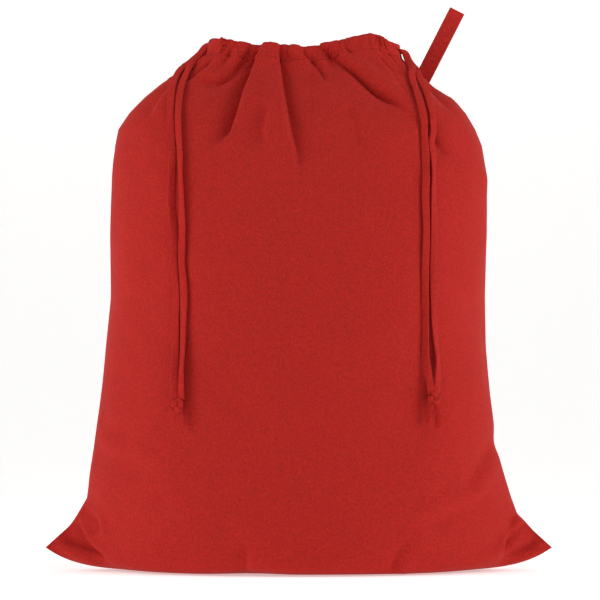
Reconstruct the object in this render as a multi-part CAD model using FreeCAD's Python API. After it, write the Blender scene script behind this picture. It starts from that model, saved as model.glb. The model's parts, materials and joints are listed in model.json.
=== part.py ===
import FreeCAD, Part
import math
import os

# A drawstring cloth sack, standing full on its base. Millimetres, +Z up, front towards -Y.
# Two flat panels are sewn at the sides and the bottom, and each is hemmed into a casing at the
# mouth. Two drawcords run right round the casings, one leaving at each side, and each ends in a knot.

V = FreeCAD.Vector
os.makedirs("parts", exist_ok=True)

# ---- driving dimensions -------------------------------------------------------------------
BODY_HALF_WIDTH = 228.0     # the filled sack, side seam to middle
BODY_HALF_DEPTH = 151.0     # the filled sack, front to middle
CORNER_REACH = 78.0         # how far a pointed bottom corner reaches beyond the filled sack's side
CORNER_HEIGHT = 28.0        # height of a corner's tip above the floor
BASE_HALF_DEPTH = 118.0     # where the cloth leaves the floor, front to middle
SHOULDER_HEIGHT = 533.0     # where the full width starts to draw in
RIM_HEIGHT = 622.0          # top of the neck cloth, under the casings
CLOTH = 1.3                 # thickness of one layer of cloth
SEAM_GAP = 0.1              # each panel's edge stops this far from the seam plane
BASE_PRESS = 0.3            # the load presses the cloth this much thinner where it lies on the floor

MOUTH_SHIFT = 9.0           # the gathered mouth leans this far to the right
MOUTH_HALF_WIDTH = 112.0    # gathered mouth, middle of the casing
MOUTH_HALF_DEPTH = 38.0
MOUTH_SQUARENESS = 0.5      # 1 would be an ellipse
CASING_ROOM = 0.9           # air between a cord and the casing's cloth, front to back
CASING_ROOM_HIGH = 0.8      # the same above and below the pair of cords
CASING_GAP = 0.6            # air between the rim and the casings that slide over it
CASING_SLIDE = 26.0         # how far each casing travels as the mouth is drawn shut
CASING_MEET_GAP = 0.3       # between the middle and each casing's inner side when the mouth is shut
HEM_JOIN_GAP = 1.0          # front to back, between a sliding casing and a hem end
OPENING_HALF = 13.0         # half of the cord opening at each side
BARTACK = (14.0, 2.4, 1.2)  # the dense stitch across the seam under each opening

CORD = 7.0                  # diameter of a drawcord, its folded tie bunched round
CORD_IN_HEM = 5.8           # the same cord squeezed by the opening's edges
CORD_RUN_IN = 1.5           # how far the squeezed stretch runs into the free one
CORD_CLEARANCE = 0.8        # between the two cords, one over the other in the casing
CORD_JOIN_GAP = 1.0         # between two stretches of one cord on different bodies
KNOT = (17.0, 14.0, 19.0)   # width, depth and height of an overhand knot in the doubled cord

SEAM_ALLOWANCE = 12.0       # width of the sewn allowance inside
SEAM_BITE = 0.3             # the allowance is sewn this far into the panels
STITCH_LENGTH = 3.0
STITCH_PITCH = 5.0
STITCH_THREAD = 0.8

LOOP_WIDTH = 19.5
LOOP_WEB = 1.6              # thickness of the loop's webbing
LOOP_HALF_GAP = 6.0         # half of the open space between the loop's two legs
LOOP_LEAN = 27.0            # degrees from upright, towards the right
LOOP_OUT = 79.0             # the fold's middle, this far to the right of the gathered mouth's end
LOOP_RISE = 53.0            # and this far above the rim
LOOP_LENGTH = 112.0         # from the sewn edge to the fold
LOOP_SEWN = 24.0            # length sewn flat to the back panel
LOOP_BITE = 0.3             # the stitches pull the sewn end this far into the cloth
LOOP_FOLD_GAP = 0.4         # between the loop folded back and the stitches it lies on

# ---- sizes that follow from those above ----------------------------------------------------
CORNER_HALF_WIDTH = BODY_HALF_WIDTH + CORNER_REACH
CASING_DEPTH = CORD + 2 * (CLOTH + CASING_ROOM)
CASING_HEIGHT = 2 * CORD + CORD_CLEARANCE + 2 * (CLOTH + CASING_ROOM_HIGH)
LOOP_TOP = (MOUTH_HALF_WIDTH + LOOP_OUT, RIM_HEIGHT + LOOP_RISE)

# ---- the cloth body -----------------------------------------------------------------------
# Each station up a panel: side seam x and z, middle depth and z, then two shape powers: the section
# is depth * cos(angle) ** squareness, and the side's height joins in as sin(angle) ** edge_power.
STATIONS = [
    (CORNER_HALF_WIDTH, CORNER_HEIGHT, 0.0, 0.0, 2.0, 8.0),
    (CORNER_HALF_WIDTH - 12, CORNER_HEIGHT + 11, BASE_HALF_DEPTH * 0.50, 0.0, 1.9, 8.0),
    (CORNER_HALF_WIDTH - 25, CORNER_HEIGHT + 22, BASE_HALF_DEPTH, 0.0, 1.75, 7.0),
    (BODY_HALF_WIDTH + 40, 66.0, BASE_HALF_DEPTH + 17, 7.0, 1.6, 6.0),
    (BODY_HALF_WIDTH + 30, 88.0, BASE_HALF_DEPTH + 25, 30.0, 1.35, 6.0),
    (BODY_HALF_WIDTH + 21, 122.0, BODY_HALF_DEPTH - 3, 84.0, 1.15, 4.0),
    (BODY_HALF_WIDTH + 13, 175.0, BODY_HALF_DEPTH + 1, 155.0, 1.0, 3.0),
    (BODY_HALF_WIDTH + 4, 255.0, BODY_HALF_DEPTH + 2, 250.0, 1.0, 2.0),
    (BODY_HALF_WIDTH, 350.0, BODY_HALF_DEPTH - 1, 350.0, 1.0, 2.0),
    (BODY_HALF_WIDTH, 435.0, BODY_HALF_DEPTH - 10, 440.0, 1.0, 2.0),
    (BODY_HALF_WIDTH - 2, 500.0, BODY_HALF_DEPTH - 28, 510.0, 0.95, 2.0),
    (BODY_HALF_WIDTH - 14, SHOULDER_HEIGHT + 6, BODY_HALF_DEPTH - 54, 560.0, 0.85, 2.0),
    (BODY_HALF_WIDTH - 58, SHOULDER_HEIGHT + 50, BODY_HALF_DEPTH - 86, 595.0, 0.7, 2.0),
    (MOUTH_HALF_WIDTH + 20, RIM_HEIGHT - 12, MOUTH_HALF_DEPTH + 7, RIM_HEIGHT - 10, 0.6, 2.0),
    (MOUTH_HALF_WIDTH + 6, RIM_HEIGHT, MOUTH_HALF_DEPTH, RIM_HEIGHT, 0.5, 2.0),
]
COLUMNS = 24


def lean(z):
    """Sideways shift of the neck: nothing below the shoulders, the mouth's shift at the rim."""
    share = min(1.0, max(0.0, (z - 470.0) / (RIM_HEIGHT - 470.0)))
    return MOUTH_SHIFT * share * share * (3 - 2 * share)


def clamped_knots(count):
    """Knots and multiplicities of a clamped cubic spline with this many poles."""
    inner = count - 3
    return [i / inner for i in range(inner + 1)], [4] + [1] * (inner - 1) + [4]


def panel_surface(front, inset):
    """A panel's spline surface: outer when inset is 0, and that far inside the cloth otherwise."""
    poles = []
    for side_x, side_z, depth, middle_z, squareness, edge_power in STATIONS:
        under = 1.0 - min(1.0, middle_z / 60.0)
        row = []
        for column in range(COLUMNS + 1):
            angle = math.pi * (column / COLUMNS - 0.5)
            across = math.sin(angle)
            round_off = max(0.0, math.cos(angle)) ** squareness
            edge = abs(across) ** edge_power
            lowest = middle_z - BASE_PRESS * under
            z = lowest + (side_z - lowest) * edge
            narrowed = side_x - inset * (1.0 + 3.0 * under)
            inner_depth = max(0.0, depth - inset) if depth > 0 else 0.0
            y = SEAM_GAP + inner_depth * round_off
            raised = z + inset * under * (1 - edge * 0.5)
            row.append(V(narrowed * across + lean(z), -y if front else y, raised))
        poles.append(row)
    u_knots, u_mults = clamped_knots(len(poles))
    v_knots, v_mults = clamped_knots(COLUMNS + 1)
    surface = Part.BSplineSurface()
    surface.buildFromPolesMultsKnots(poles, u_mults, v_mults, u_knots, v_knots, False, False, 3, 3)
    return surface


def boundary(surface):
    """The four edge curves of a spline surface: bottom, rim, left side, right side."""
    return [surface.uIso(0.0), surface.uIso(1.0), surface.vIso(0.0), surface.vIso(1.0)]


def panel(front):
    """One panel: outer and inner skins, closed along the seams and the rim, and flat on the floor."""
    outer = panel_surface(front, 0.0)
    inner = panel_surface(front, CLOTH)
    faces = [outer.toShape(), inner.toShape()]
    for outer_edge, inner_edge in zip(boundary(outer), boundary(inner)):
        faces.append(Part.makeRuledSurface(outer_edge.toShape(), inner_edge.toShape()))
    shell = Part.Shell(faces)
    shell.sewShape()
    solid = Part.Solid(shell)
    solid.fix(0.001, 0.001, 0.01)
    if solid.Volume < 0:
        solid.reverse()
    room = CORNER_HALF_WIDTH + BODY_HALF_DEPTH
    floor = Part.makeBox(2 * room, 2 * room, room, V(-room, -room, -room))
    return solid.cut(floor)


def export(name, solids):
    """Write one node, as one solid or as a group of separate ones, and say how big it is."""
    shape = solids if isinstance(solids, Part.Shape) else Part.makeCompound(solids)
    box = shape.BoundBox
    print("%-34s %9.0f mm3  valid %s  solids %d  z %.1f..%.1f"
          % (name, shape.Volume, shape.isValid(), len(shape.Solids), box.ZMin, box.ZMax))
    shape.exportStep("parts/%s.step" % name)
    return shape


# ---- sewn allowances inside -----------------------------------------------------------------
def side_allowance(side):
    """The two layers of cloth turned in along a side seam, from above the corner to the rim."""
    edge = [(x * side + lean(z), z) for x, z in [(s[0] - CLOTH, s[1]) for s in STATIONS[4:]]]
    outer_line = [V(x + side * SEAM_BITE, -CLOTH, z) for x, z in edge]
    inner_line = [V(x - side * SEAM_ALLOWANCE, -CLOTH, z) for x, z in edge]
    spline = Part.BSplineCurve()
    spline.buildFromPoles(outer_line, False, 3)
    inside = Part.BSplineCurve()
    inside.buildFromPoles(inner_line, False, 3)
    wire = Part.Wire([
        spline.toShape(),
        Part.makeLine(outer_line[-1], inner_line[-1]),
        inside.toShape(),
        Part.makeLine(inner_line[0], outer_line[0]),
    ])
    return Part.Face(wire).extrude(V(0, 2 * CLOTH, 0))


def stitch(at, along, outward):
    """One stitch: a short bar of thread lying along the seam."""
    bar = Part.makeBox(STITCH_LENGTH, STITCH_THREAD, STITCH_THREAD,
                       V(-STITCH_LENGTH / 2, -STITCH_THREAD / 2, -STITCH_THREAD / 2))
    side = outward.cross(along)
    bar.Placement = FreeCAD.Placement(at, FreeCAD.Rotation(along, side, outward, "XYZ"))
    return bar


def stitches_along(curve, outward_at, start=0.0, end=0.0):
    """Stitches evenly spaced along a curve, leaving the given lengths free at its two ends."""
    length = curve.length()
    count = int((length - start - end) // STITCH_PITCH)
    row = []
    for number in range(count + 1):
        at = curve.parameterAtDistance(start + number * STITCH_PITCH)
        point = curve.value(at)
        along = V(*curve.tangent(at)[0])
        row.append(stitch(point, along, outward_at(point, along)))
    return row


def smooth_curve(points):
    curve = Part.BSplineCurve()
    curve.interpolate(points)
    return curve


# ---- the casings round the mouth ------------------------------------------------------------
CASING_MIDDLE = RIM_HEIGHT + CASING_GAP + CASING_HEIGHT / 2
CASING_END_Y = CASING_SLIDE + CASING_DEPTH / 2 + CASING_MEET_GAP
CORD_RISE = (CORD + CORD_CLEARANCE) / 2
LEFT_CORD_Z = CASING_MIDDLE + CORD_RISE
RIGHT_CORD_Z = CASING_MIDDLE - CORD_RISE


def mouth_angle(depth):
    """The angle round the mouth, from the middle, where its half depth falls to this."""
    return math.acos((depth / MOUTH_HALF_DEPTH) ** (1 / MOUTH_SQUARENESS))


def mouth_point(angle, facing, z):
    """A point on the gathered mouth line. facing is -1 in front and 1 behind."""
    depth = MOUTH_HALF_DEPTH * max(0.0, math.cos(angle)) ** MOUTH_SQUARENESS
    return V(MOUTH_SHIFT + MOUTH_HALF_WIDTH * math.sin(angle), facing * depth, z)


def mouth_curve(first, last, facing, z, count=13):
    """The mouth line between two angles, evenly spaced in angle."""
    step = (last - first) / (count - 1)
    return smooth_curve([mouth_point(first + step * i, facing, z) for i in range(count)])


RINGS = 15                  # sections that a tube round the mouth is drawn through


def oval_tube(curve, width, height):
    """A solid of oval section along a level curve."""
    rings = []
    for number in range(RINGS):
        share = number / (RINGS - 1)
        at = curve.FirstParameter + (curve.LastParameter - curve.FirstParameter) * share
        along = V(*curve.tangent(at)[0])
        oval = Part.Ellipse(V(0, 0, 0), height / 2, width / 2).toShape()
        wire = Part.Wire([oval])
        across = V(0, 0, 1).cross(along)
        turned = FreeCAD.Rotation(V(0, 0, 1), across, along, "XYZ")
        wire.Placement = FreeCAD.Placement(curve.value(at), turned)
        rings.append(wire)
    return Part.makeLoft(rings, True, False)


def casing_tube(first, last, facing):
    """A hollow casing, open at both ends, between two angles of the mouth line."""
    curve = mouth_curve(first, last, facing, CASING_MIDDLE)
    outside = oval_tube(curve, CASING_DEPTH, CASING_HEIGHT)
    inside = oval_tube(curve, CASING_DEPTH - 2 * CLOTH, CASING_HEIGHT - 2 * CLOTH)
    return outside.cut(inside)


def cord_in_casing(first, last, facing, z, diameter):
    """A cord's stretch inside a casing, as one round tube along the mouth line."""
    return oval_tube(mouth_curve(first, last, facing, z), diameter, diameter)


JOIN_ANGLE = mouth_angle(CASING_END_Y)
HEM_START = mouth_angle(CASING_END_Y - HEM_JOIN_GAP)
HEM_STOP = mouth_angle(OPENING_HALF)

# ---- the cords -------------------------------------------------------------------------------
# Routes by hand, from the casing's end, through the opening in the side seam and down over the front.
HANG_HEIGHT = 505.0         # below this a cord's two ends hang free and swing
LEFT_FRONT_UPPER = [
    (-102.2, -13.0, LEFT_CORD_Z), (-106.2, -5.0, LEFT_CORD_Z), (-114.8, -4.0, 634.0), (-122.2, -11.5, 626.5),
    (-129.8, -25.0, 613.0), (-137.2, -41.5, 594.5), (-141.8, -60.3, 573.2), (-144.0, -78.2, 551.6),
    (-142.8, -91.8, 528.0), (-141.0, -100.8, HANG_HEIGHT),
]
LEFT_BACK_UPPER = [
    (-102.2, 13.0, LEFT_CORD_Z), (-106.2, 5.0, LEFT_CORD_Z), (-115.2, 4.2, 634.8), (-125.4, -1.2, 628.0),
    (-136.8, -13.8, 615.2), (-146.2, -31.5, 597.2), (-151.8, -51.0, 577.0), (-153.0, -71.4, 554.5),
    (-152.0, -86.8, 530.0), (-149.8, -96.4, HANG_HEIGHT),
]
RIGHT_FRONT_UPPER = [
    (120.2, -13.0, RIGHT_CORD_Z), (124.2, -5.0, RIGHT_CORD_Z), (132.8, -4.4, 625.6), (138.6, -12.5, 619.8),
    (139.8, -26.5, 612.4), (139.8, -41.8, 602.8), (141.6, -56.4, 587.2), (144.8, -70.4, 568.2),
    (149.5, -81.8, 548.2), (152.2, -90.2, 527.0), (153.0, -97.6, HANG_HEIGHT),
]
RIGHT_BACK_UPPER = [
    (120.2, 13.0, RIGHT_CORD_Z), (124.2, 5.2, RIGHT_CORD_Z), (133.4, 4.6, 626.8), (143.2, -3.0, 620.2),
    (150.4, -19.0, 610.8), (152.8, -40.5, 596.2), (156.6, -59.8, 574.6), (160.9, -74.2, 552.5),
    (162.8, -85.2, 529.4), (161.8, -92.4, HANG_HEIGHT),
]
LEFT_FRONT_LOWER = [
    (-141.0, -100.8, HANG_HEIGHT), (-139.8, -110.6, 470.0), (-138.8, -116.8, 437.0), (-140.6, -120.0, 403.0),
    (-141.8, -122.8, 369.0), (-137.9, -125.8, 335.0), (-139.2, -127.2, 300.0), (-139.0, -128.4, 265.0),
    (-139.6, -129.3, 236.0), (-139.2, -129.9, 210.0),
]
LEFT_BACK_LOWER = [
    (-149.8, -96.4, HANG_HEIGHT), (-149.8, -105.8, 470.0), (-151.9, -110.3, 437.0), (-149.5, -115.4, 403.0),
    (-150.7, -117.6, 369.0), (-147.2, -121.3, 335.0), (-148.7, -122.0, 300.0), (-147.8, -123.8, 265.0),
    (-148.0, -125.2, 236.0), (-147.0, -127.6, 210.0),
]
RIGHT_FRONT_LOWER = [
    (153.0, -97.6, HANG_HEIGHT), (151.5, -105.8, 470.0), (152.1, -110.8, 435.0), (152.4, -114.2, 400.0),
    (151.1, -117.2, 365.0), (150.8, -119.6, 330.0), (152.0, -120.4, 295.0), (151.3, -122.0, 262.0),
    (154.0, -122.2, 238.0), (157.2, -122.0, 216.5),
]
RIGHT_BACK_LOWER = [
    (161.8, -92.4, HANG_HEIGHT), (161.0, -100.6, 470.0), (161.6, -105.2, 435.0), (161.3, -108.8, 400.0),
    (161.0, -111.7, 365.0), (161.6, -113.3, 330.0), (163.7, -113.2, 295.0), (166.6, -112.7, 262.0),
    (165.6, -115.6, 238.0), (162.8, -119.0, 216.5),
]
LEFT_KNOT_AT = V(-143.2, -130.5, 203.0)
RIGHT_KNOT_AT = V(160.0, -121.5, 211.5)
LEFT_TAILS = [
    [(-149.0, -132.0, 201.5), (-156.5, -132.5, 198.5), (-163.0, -131.5, 194.0)],
    [(-141.5, -132.0, 196.5), (-139.8, -133.0, 187.0), (-139.0, -132.0, 177.0)],
]
RIGHT_TAILS = [
    [(156.5, -122.0, 206.0), (154.2, -123.0, 193.0), (153.6, -122.0, 182.0)],
    [(163.4, -121.0, 206.0), (166.0, -121.8, 191.0), (165.2, -120.5, 176.0)],
]


def cord_tube(name, route):
    """A round tube along straight runs joined by tangent arcs, each as large as its runs allow."""
    points = [V(*p) for p in route]
    edges = []
    radii = []
    start = points[0]
    for before, corner, after in zip(points, points[1:], points[2:]):
        into = (corner - before).normalize()
        out = (after - corner).normalize()
        turn = into.getAngle(out)
        trim = 0.45 * min((corner - before).Length, (after - corner).Length)
        radii.append(trim / math.tan(turn / 2))
        first = corner - into * trim
        last = corner + out * trim
        bisector = (out - into).normalize()
        centre = corner + bisector * math.hypot(trim, radii[-1])
        middle = centre + (corner - centre).normalize() * radii[-1]
        edges.append(Part.LineSegment(start, first).toShape())
        edges.append(Part.Arc(first, middle, last).toShape())
        start = last
    edges.append(Part.LineSegment(start, points[-1]).toShape())
    path = Part.Wire(edges)
    ring = Part.Wire([Part.Circle(points[0], points[1] - points[0], CORD / 2).toShape()])
    tube = path.makePipeShell([ring], True, False)
    wanted = math.pi * CORD ** 2 / 4 * path.Length
    print("  %s: length %.1f mm, smallest radius %.1f mm, volume %.4f of section x length"
          % (name, path.Length, min(radii), tube.Volume / wanted))
    return tube


def lowered(route, drop):
    """The route with its first point this much lower, which leaves a gap below the stretch above."""
    x, y, z = route[0]
    return [(x, y, z - drop)] + route[1:]


def knot(centre):
    """The overhand knot's outer shape: a rounded bead."""
    width, depth, height = KNOT
    bead = Part.makeSphere(0.5)
    stretch = FreeCAD.Matrix()
    stretch.scale(width, depth, height)
    bead = bead.transformGeometry(stretch)
    bead.translate(centre)
    return bead


# ---- building ----------------------------------------------------------------------------------
front_panel = export("front_panel", panel(True))
back_panel = export("back_panel", panel(False))

allowances = {}
for side, side_name in ((-1, "left"), (1, "right")):
    allowances[side_name] = export(side_name + "_side_seam_allowance", side_allowance(side))
    seam_line = smooth_curve([
        V((s[0] - CLOTH - SEAM_ALLOWANCE * 0.7) * side + lean(s[1]), -CLOTH, s[1]) for s in STATIONS[5:-1]
    ])
    export(side_name + "_side_seam_stitching", stitches_along(seam_line, lambda p, along: V(0, -1, 0)))

BOTTOM_SEAM_HALF = BODY_HALF_WIDTH - 40.0
export("bottom_seam_allowance", Part.makeBox(
    2 * BOTTOM_SEAM_HALF, 2 * CLOTH, SEAM_ALLOWANCE + SEAM_BITE,
    V(-BOTTOM_SEAM_HALF, -CLOTH, CLOTH - BASE_PRESS - SEAM_BITE)))
bottom_line = Part.LineSegment(
    V(-BOTTOM_SEAM_HALF, -CLOTH, CLOTH + SEAM_ALLOWANCE * 0.3),
    V(BOTTOM_SEAM_HALF, -CLOTH, CLOTH + SEAM_ALLOWANCE * 0.3))
bottom_stitches = int(2 * BOTTOM_SEAM_HALF // STITCH_PITCH)
export("bottom_seam_stitching", [
    stitch(bottom_line.StartPoint + V(STITCH_PITCH * (i + 0.5), 0, 0), V(1, 0, 0), V(0, -1, 0))
    for i in range(bottom_stitches)
])

STITCH_DROP = CASING_HEIGHT * 0.36
stitch_out = CASING_DEPTH / 2 * math.sqrt(1 - (STITCH_DROP / (CASING_HEIGHT / 2)) ** 2)
for facing, face_name in ((-1, "front"), (1, "back")):
    export(face_name + "_casing", casing_tube(-JOIN_ANGLE, JOIN_ANGLE, facing))
    seam_row = mouth_curve(-JOIN_ANGLE, JOIN_ANGLE, facing, CASING_MIDDLE - STITCH_DROP)
    row = stitches_along(seam_row, lambda p, along: along.cross(V(0, 0, facing)).normalize(), 3.0, 3.0)
    for bar in row:
        out = bar.Placement.Rotation.multVec(V(0, 0, 1))
        bar.translate(out * stitch_out)
    export(face_name + "_casing_stitching", row)
    for cord_name, cord_z in (("left", LEFT_CORD_Z), ("right", RIGHT_CORD_Z)):
        run = cord_in_casing(-JOIN_ANGLE, JOIN_ANGLE, facing, cord_z, CORD)
        export("%s_drawcord_%s_run" % (cord_name, face_name), run)

for side, side_name in ((-1, "left"), (1, "right")):
    tubes = []
    for facing in (-1, 1):
        tubes.append(casing_tube(side * HEM_START, side * HEM_STOP, facing))
    export(side_name + "_hem_end", tubes)
    length, height, thickness = BARTACK
    rim_x = side * (MOUTH_HALF_WIDTH + 7.0) + MOUTH_SHIFT
    export(side_name + "_opening_bartack", Part.makeBox(
        thickness * 2, length, height, V(rim_x - thickness, -length / 2, RIM_HEIGHT - height - 2.5)))

# The cord that leaves on the left turns back inside the right opening, and the other way about.
for cord_name, side, side_name, z in (("left", 1, "right", LEFT_CORD_Z), ("right", -1, "left", RIGHT_CORD_Z)):
    steps = 11
    half = [mouth_point(side * (HEM_START + (math.pi / 2 - HEM_START) * i / (steps - 1)), -1, z)
            for i in range(steps)]
    bend = smooth_curve(half + [V(p.x, -p.y, p.z) for p in reversed(half[:-1])])
    export("%s_drawcord_%s_bend" % (cord_name, side_name), oval_tube(bend, CORD, CORD))

for cord_name, upper_routes, lower_routes, knot_at, tails in (
        ("left", (LEFT_FRONT_UPPER, LEFT_BACK_UPPER), (LEFT_FRONT_LOWER, LEFT_BACK_LOWER), LEFT_KNOT_AT,
         LEFT_TAILS),
        ("right", (RIGHT_FRONT_UPPER, RIGHT_BACK_UPPER), (RIGHT_FRONT_LOWER, RIGHT_BACK_LOWER), RIGHT_KNOT_AT,
         RIGHT_TAILS)):
    bead = knot(knot_at)
    side, cord_z = (-1, LEFT_CORD_Z) if cord_name == "left" else (1, RIGHT_CORD_Z)
    for strand, facing, upper, lower in zip(("front", "back"), (-1, 1), upper_routes, lower_routes):
        name = "%s_drawcord_%s_shoulder" % (cord_name, strand)
        run_in = mouth_angle(OPENING_HALF - CORD_RUN_IN)
        in_hem = cord_in_casing(side * HEM_START, side * run_in, facing, cord_z, CORD_IN_HEM)
        export(name, in_hem.fuse(cord_tube(name, upper)).removeSplitter())
        name = "%s_drawcord_%s_hanging" % (cord_name, strand)
        export(name, cord_tube(name, lowered(lower, CORD_JOIN_GAP)).cut(bead))
    export(cord_name + "_knot", bead)
    export(cord_name + "_knot_tails", [
        cord_tube("%s tail %d" % (cord_name, i), tail).cut(bead) for i, tail in enumerate(tails)
    ])

# ---- the hanging loop behind the right shoulder ------------------------------------------------
lean_angle = math.radians(LOOP_LEAN)
along_loop = V(math.sin(lean_angle), 0, math.cos(lean_angle))
across_loop = V(math.cos(lean_angle), 0, -math.sin(lean_angle))
back_of_loop = V(0, 1, 0)
root_x = LOOP_TOP[0] - LOOP_LENGTH * along_loop.x
root_z = LOOP_TOP[1] - LOOP_LENGTH * along_loop.z
back_skin = panel_surface(False, 0.0)
root_hit = Part.Line(V(root_x, 0, root_z), V(root_x, 400, root_z)).intersect(back_skin)[0][0]
root_point = V(root_hit.X, root_hit.Y, root_hit.Z)
u_at, v_at = back_skin.parameter(root_point)
skin_normal = back_skin.normal(u_at, v_at)
if skin_normal.y < 0:
    skin_normal = skin_normal * -1
down_skin = (along_loop * -1)
down_skin = (down_skin - skin_normal * down_skin.dot(skin_normal)).normalize()
across_skin = skin_normal.cross(down_skin)
LOOP_LAYERS = 2 * LOOP_WEB + 0.1
SEWN_TOP = LOOP_LAYERS - LOOP_BITE
hinge_point = root_point + skin_normal * (SEWN_TOP + STITCH_THREAD / 2 + LOOP_FOLD_GAP + LOOP_LAYERS / 2)


def loop_offset(turn, outward):
    """A point on the loop's profile: along the loop and across it, this far off the middle line."""
    def middle(t):
        u = LOOP_LENGTH / 2 * (1 - math.cos(t))
        opening = (LOOP_HALF_GAP + LOOP_WEB / 2) / 0.65 * math.sin(t) * math.sin(t / 2) ** 2
        return u, (LOOP_WEB / 2 + 0.05) * math.cos(t / 2) + opening
    u, n = middle(turn)
    u_next, n_next = middle(turn + 1e-4)
    u_back, n_back = middle(turn - 1e-4)
    du, dn = u_next - u_back, n_next - n_back
    size = math.hypot(du, dn)
    return u - outward * dn / size, n + outward * du / size


def loop_solid():
    """The webbing folded over into a loop: a band of even thickness with an open eye."""
    turns = [0.12 + (2 * math.pi - 0.24) * i / 28 for i in range(29)]
    lines = []
    for outward in (LOOP_WEB / 2, -LOOP_WEB / 2):
        points = []
        for turn in turns:
            u, n = loop_offset(turn, outward)
            place = hinge_point + along_loop * (u + 0.6) + back_of_loop * n
            points.append(place - across_loop * (LOOP_WIDTH / 2))
        lines.append(points)
    outer = smooth_curve(lines[0])
    inner = smooth_curve(lines[1])
    wire = Part.Wire([
        outer.toShape(),
        Part.makeLine(lines[0][-1], lines[1][-1]),
        inner.toShape(),
        Part.makeLine(lines[1][0], lines[0][0]),
    ])
    return Part.Face(wire).extrude(across_loop * LOOP_WIDTH)


export("hanging_loop", loop_solid())
sewn = Part.makeBox(LOOP_SEWN, LOOP_WIDTH, LOOP_LAYERS, V(0, -LOOP_WIDTH / 2, 0))
sewn.Placement = FreeCAD.Placement(root_point - skin_normal * LOOP_BITE,
                                   FreeCAD.Rotation(down_skin, across_skin, skin_normal, "XYZ"))
export("hanging_loop_sewn_end", sewn)
box_stitches = []
BOX_STITCH_MARGIN = 3.0
for row_v in (-LOOP_WIDTH / 2 + BOX_STITCH_MARGIN, LOOP_WIDTH / 2 - BOX_STITCH_MARGIN):
    steps = int((LOOP_SEWN - 2 * BOX_STITCH_MARGIN) // (STITCH_PITCH * 0.8))
    for i in range(steps + 1):
        at = (root_point + down_skin * (BOX_STITCH_MARGIN + i * STITCH_PITCH * 0.8) + across_skin * row_v
              + skin_normal * SEWN_TOP)
        box_stitches.append(stitch(at, down_skin, skin_normal))
for row_u in (BOX_STITCH_MARGIN - 1.5, LOOP_SEWN - BOX_STITCH_MARGIN + 1.5):
    for i in range(-1, 2):
        at = (root_point + down_skin * row_u + across_skin * (i * STITCH_PITCH * 0.8)
              + skin_normal * SEWN_TOP)
        box_stitches.append(stitch(at, across_skin, skin_normal))
export("hanging_loop_stitching", box_stitches)
print("loop hinge point", hinge_point, "axis", across_loop)
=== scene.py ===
# %% [markdown]
# # A drawstring cloth sack, dressed around its CAD frame
# The frame holds the sack's size, its pieces and its joints. This file only dresses it: each soft piece is
# worked out with numpy in the frame's own metres, so nothing has to be fitted afterwards. The sack stands
# full: two flat cotton panels, drawn in at the mouth by two ties, with a webbing loop behind the right
# shoulder.

# %% Load the frame
import json
import math

import bpy
import numpy as np
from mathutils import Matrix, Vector
from mathutils.bvhtree import BVHTree

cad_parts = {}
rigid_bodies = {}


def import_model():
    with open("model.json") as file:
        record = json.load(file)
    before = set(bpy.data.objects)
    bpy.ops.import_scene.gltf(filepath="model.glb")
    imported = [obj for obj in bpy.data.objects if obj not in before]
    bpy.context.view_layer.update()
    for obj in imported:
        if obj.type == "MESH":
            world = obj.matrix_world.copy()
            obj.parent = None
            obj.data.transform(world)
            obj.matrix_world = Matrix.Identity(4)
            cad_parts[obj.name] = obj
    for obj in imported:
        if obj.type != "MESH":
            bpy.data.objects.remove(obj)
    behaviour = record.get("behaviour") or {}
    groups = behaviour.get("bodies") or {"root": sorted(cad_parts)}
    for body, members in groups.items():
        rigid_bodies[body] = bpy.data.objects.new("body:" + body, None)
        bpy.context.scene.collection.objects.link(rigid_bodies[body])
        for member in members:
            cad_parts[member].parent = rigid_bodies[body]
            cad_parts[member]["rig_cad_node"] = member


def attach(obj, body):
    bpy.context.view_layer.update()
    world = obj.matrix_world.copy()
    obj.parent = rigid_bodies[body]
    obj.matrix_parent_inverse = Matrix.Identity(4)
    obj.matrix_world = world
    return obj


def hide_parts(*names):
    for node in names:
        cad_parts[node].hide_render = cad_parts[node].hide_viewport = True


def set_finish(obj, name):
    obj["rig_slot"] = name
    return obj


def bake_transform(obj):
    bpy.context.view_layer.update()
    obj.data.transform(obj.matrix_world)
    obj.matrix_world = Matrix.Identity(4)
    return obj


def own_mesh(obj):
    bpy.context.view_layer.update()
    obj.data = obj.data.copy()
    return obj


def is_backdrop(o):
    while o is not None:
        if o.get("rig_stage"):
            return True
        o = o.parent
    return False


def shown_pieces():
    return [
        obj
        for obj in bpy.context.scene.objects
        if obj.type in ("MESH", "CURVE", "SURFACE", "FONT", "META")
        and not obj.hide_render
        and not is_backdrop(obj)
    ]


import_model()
bpy.context.view_layer.update()
MM = 0.001

# %% [markdown]
# ## Small helpers
# A smooth row of values is drawn through a handful of stations with a clamped cubic B-spline: it never
# overshoots its control values, which keeps the base flat on the floor. A grid of points becomes a mesh
# with one quad per cell. A colour is an sRGB hex value, turned to linear light once, here.

# %% Helpers: splines, grids, colours
def basis(count, at):
    """Clamped cubic B-spline weights: one row per parameter in 0..1, one column per control value."""
    inner = count - 3
    knots = np.concatenate([np.zeros(3), np.linspace(0, 1, inner + 1), np.ones(3)])
    at = np.clip(np.asarray(at, float), 0, 1 - 1e-9)[:, None]
    weights = ((at >= knots[None, :-1]) & (at < knots[None, 1:])).astype(float)
    for degree in range(1, 4):
        n = len(knots) - 1 - degree
        left = knots[degree:degree + n] - knots[:n]
        right = knots[degree + 1:degree + 1 + n] - knots[1:1 + n]
        a = np.where(left > 0, (at - knots[:n]) / np.where(left > 0, left, 1), 0)
        b = np.where(right > 0, (knots[degree + 1:degree + 1 + n] - at) / np.where(right > 0, right, 1), 0)
        weights = a * weights[:, :n] + b * weights[:, 1:n + 1]
    return weights


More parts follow.
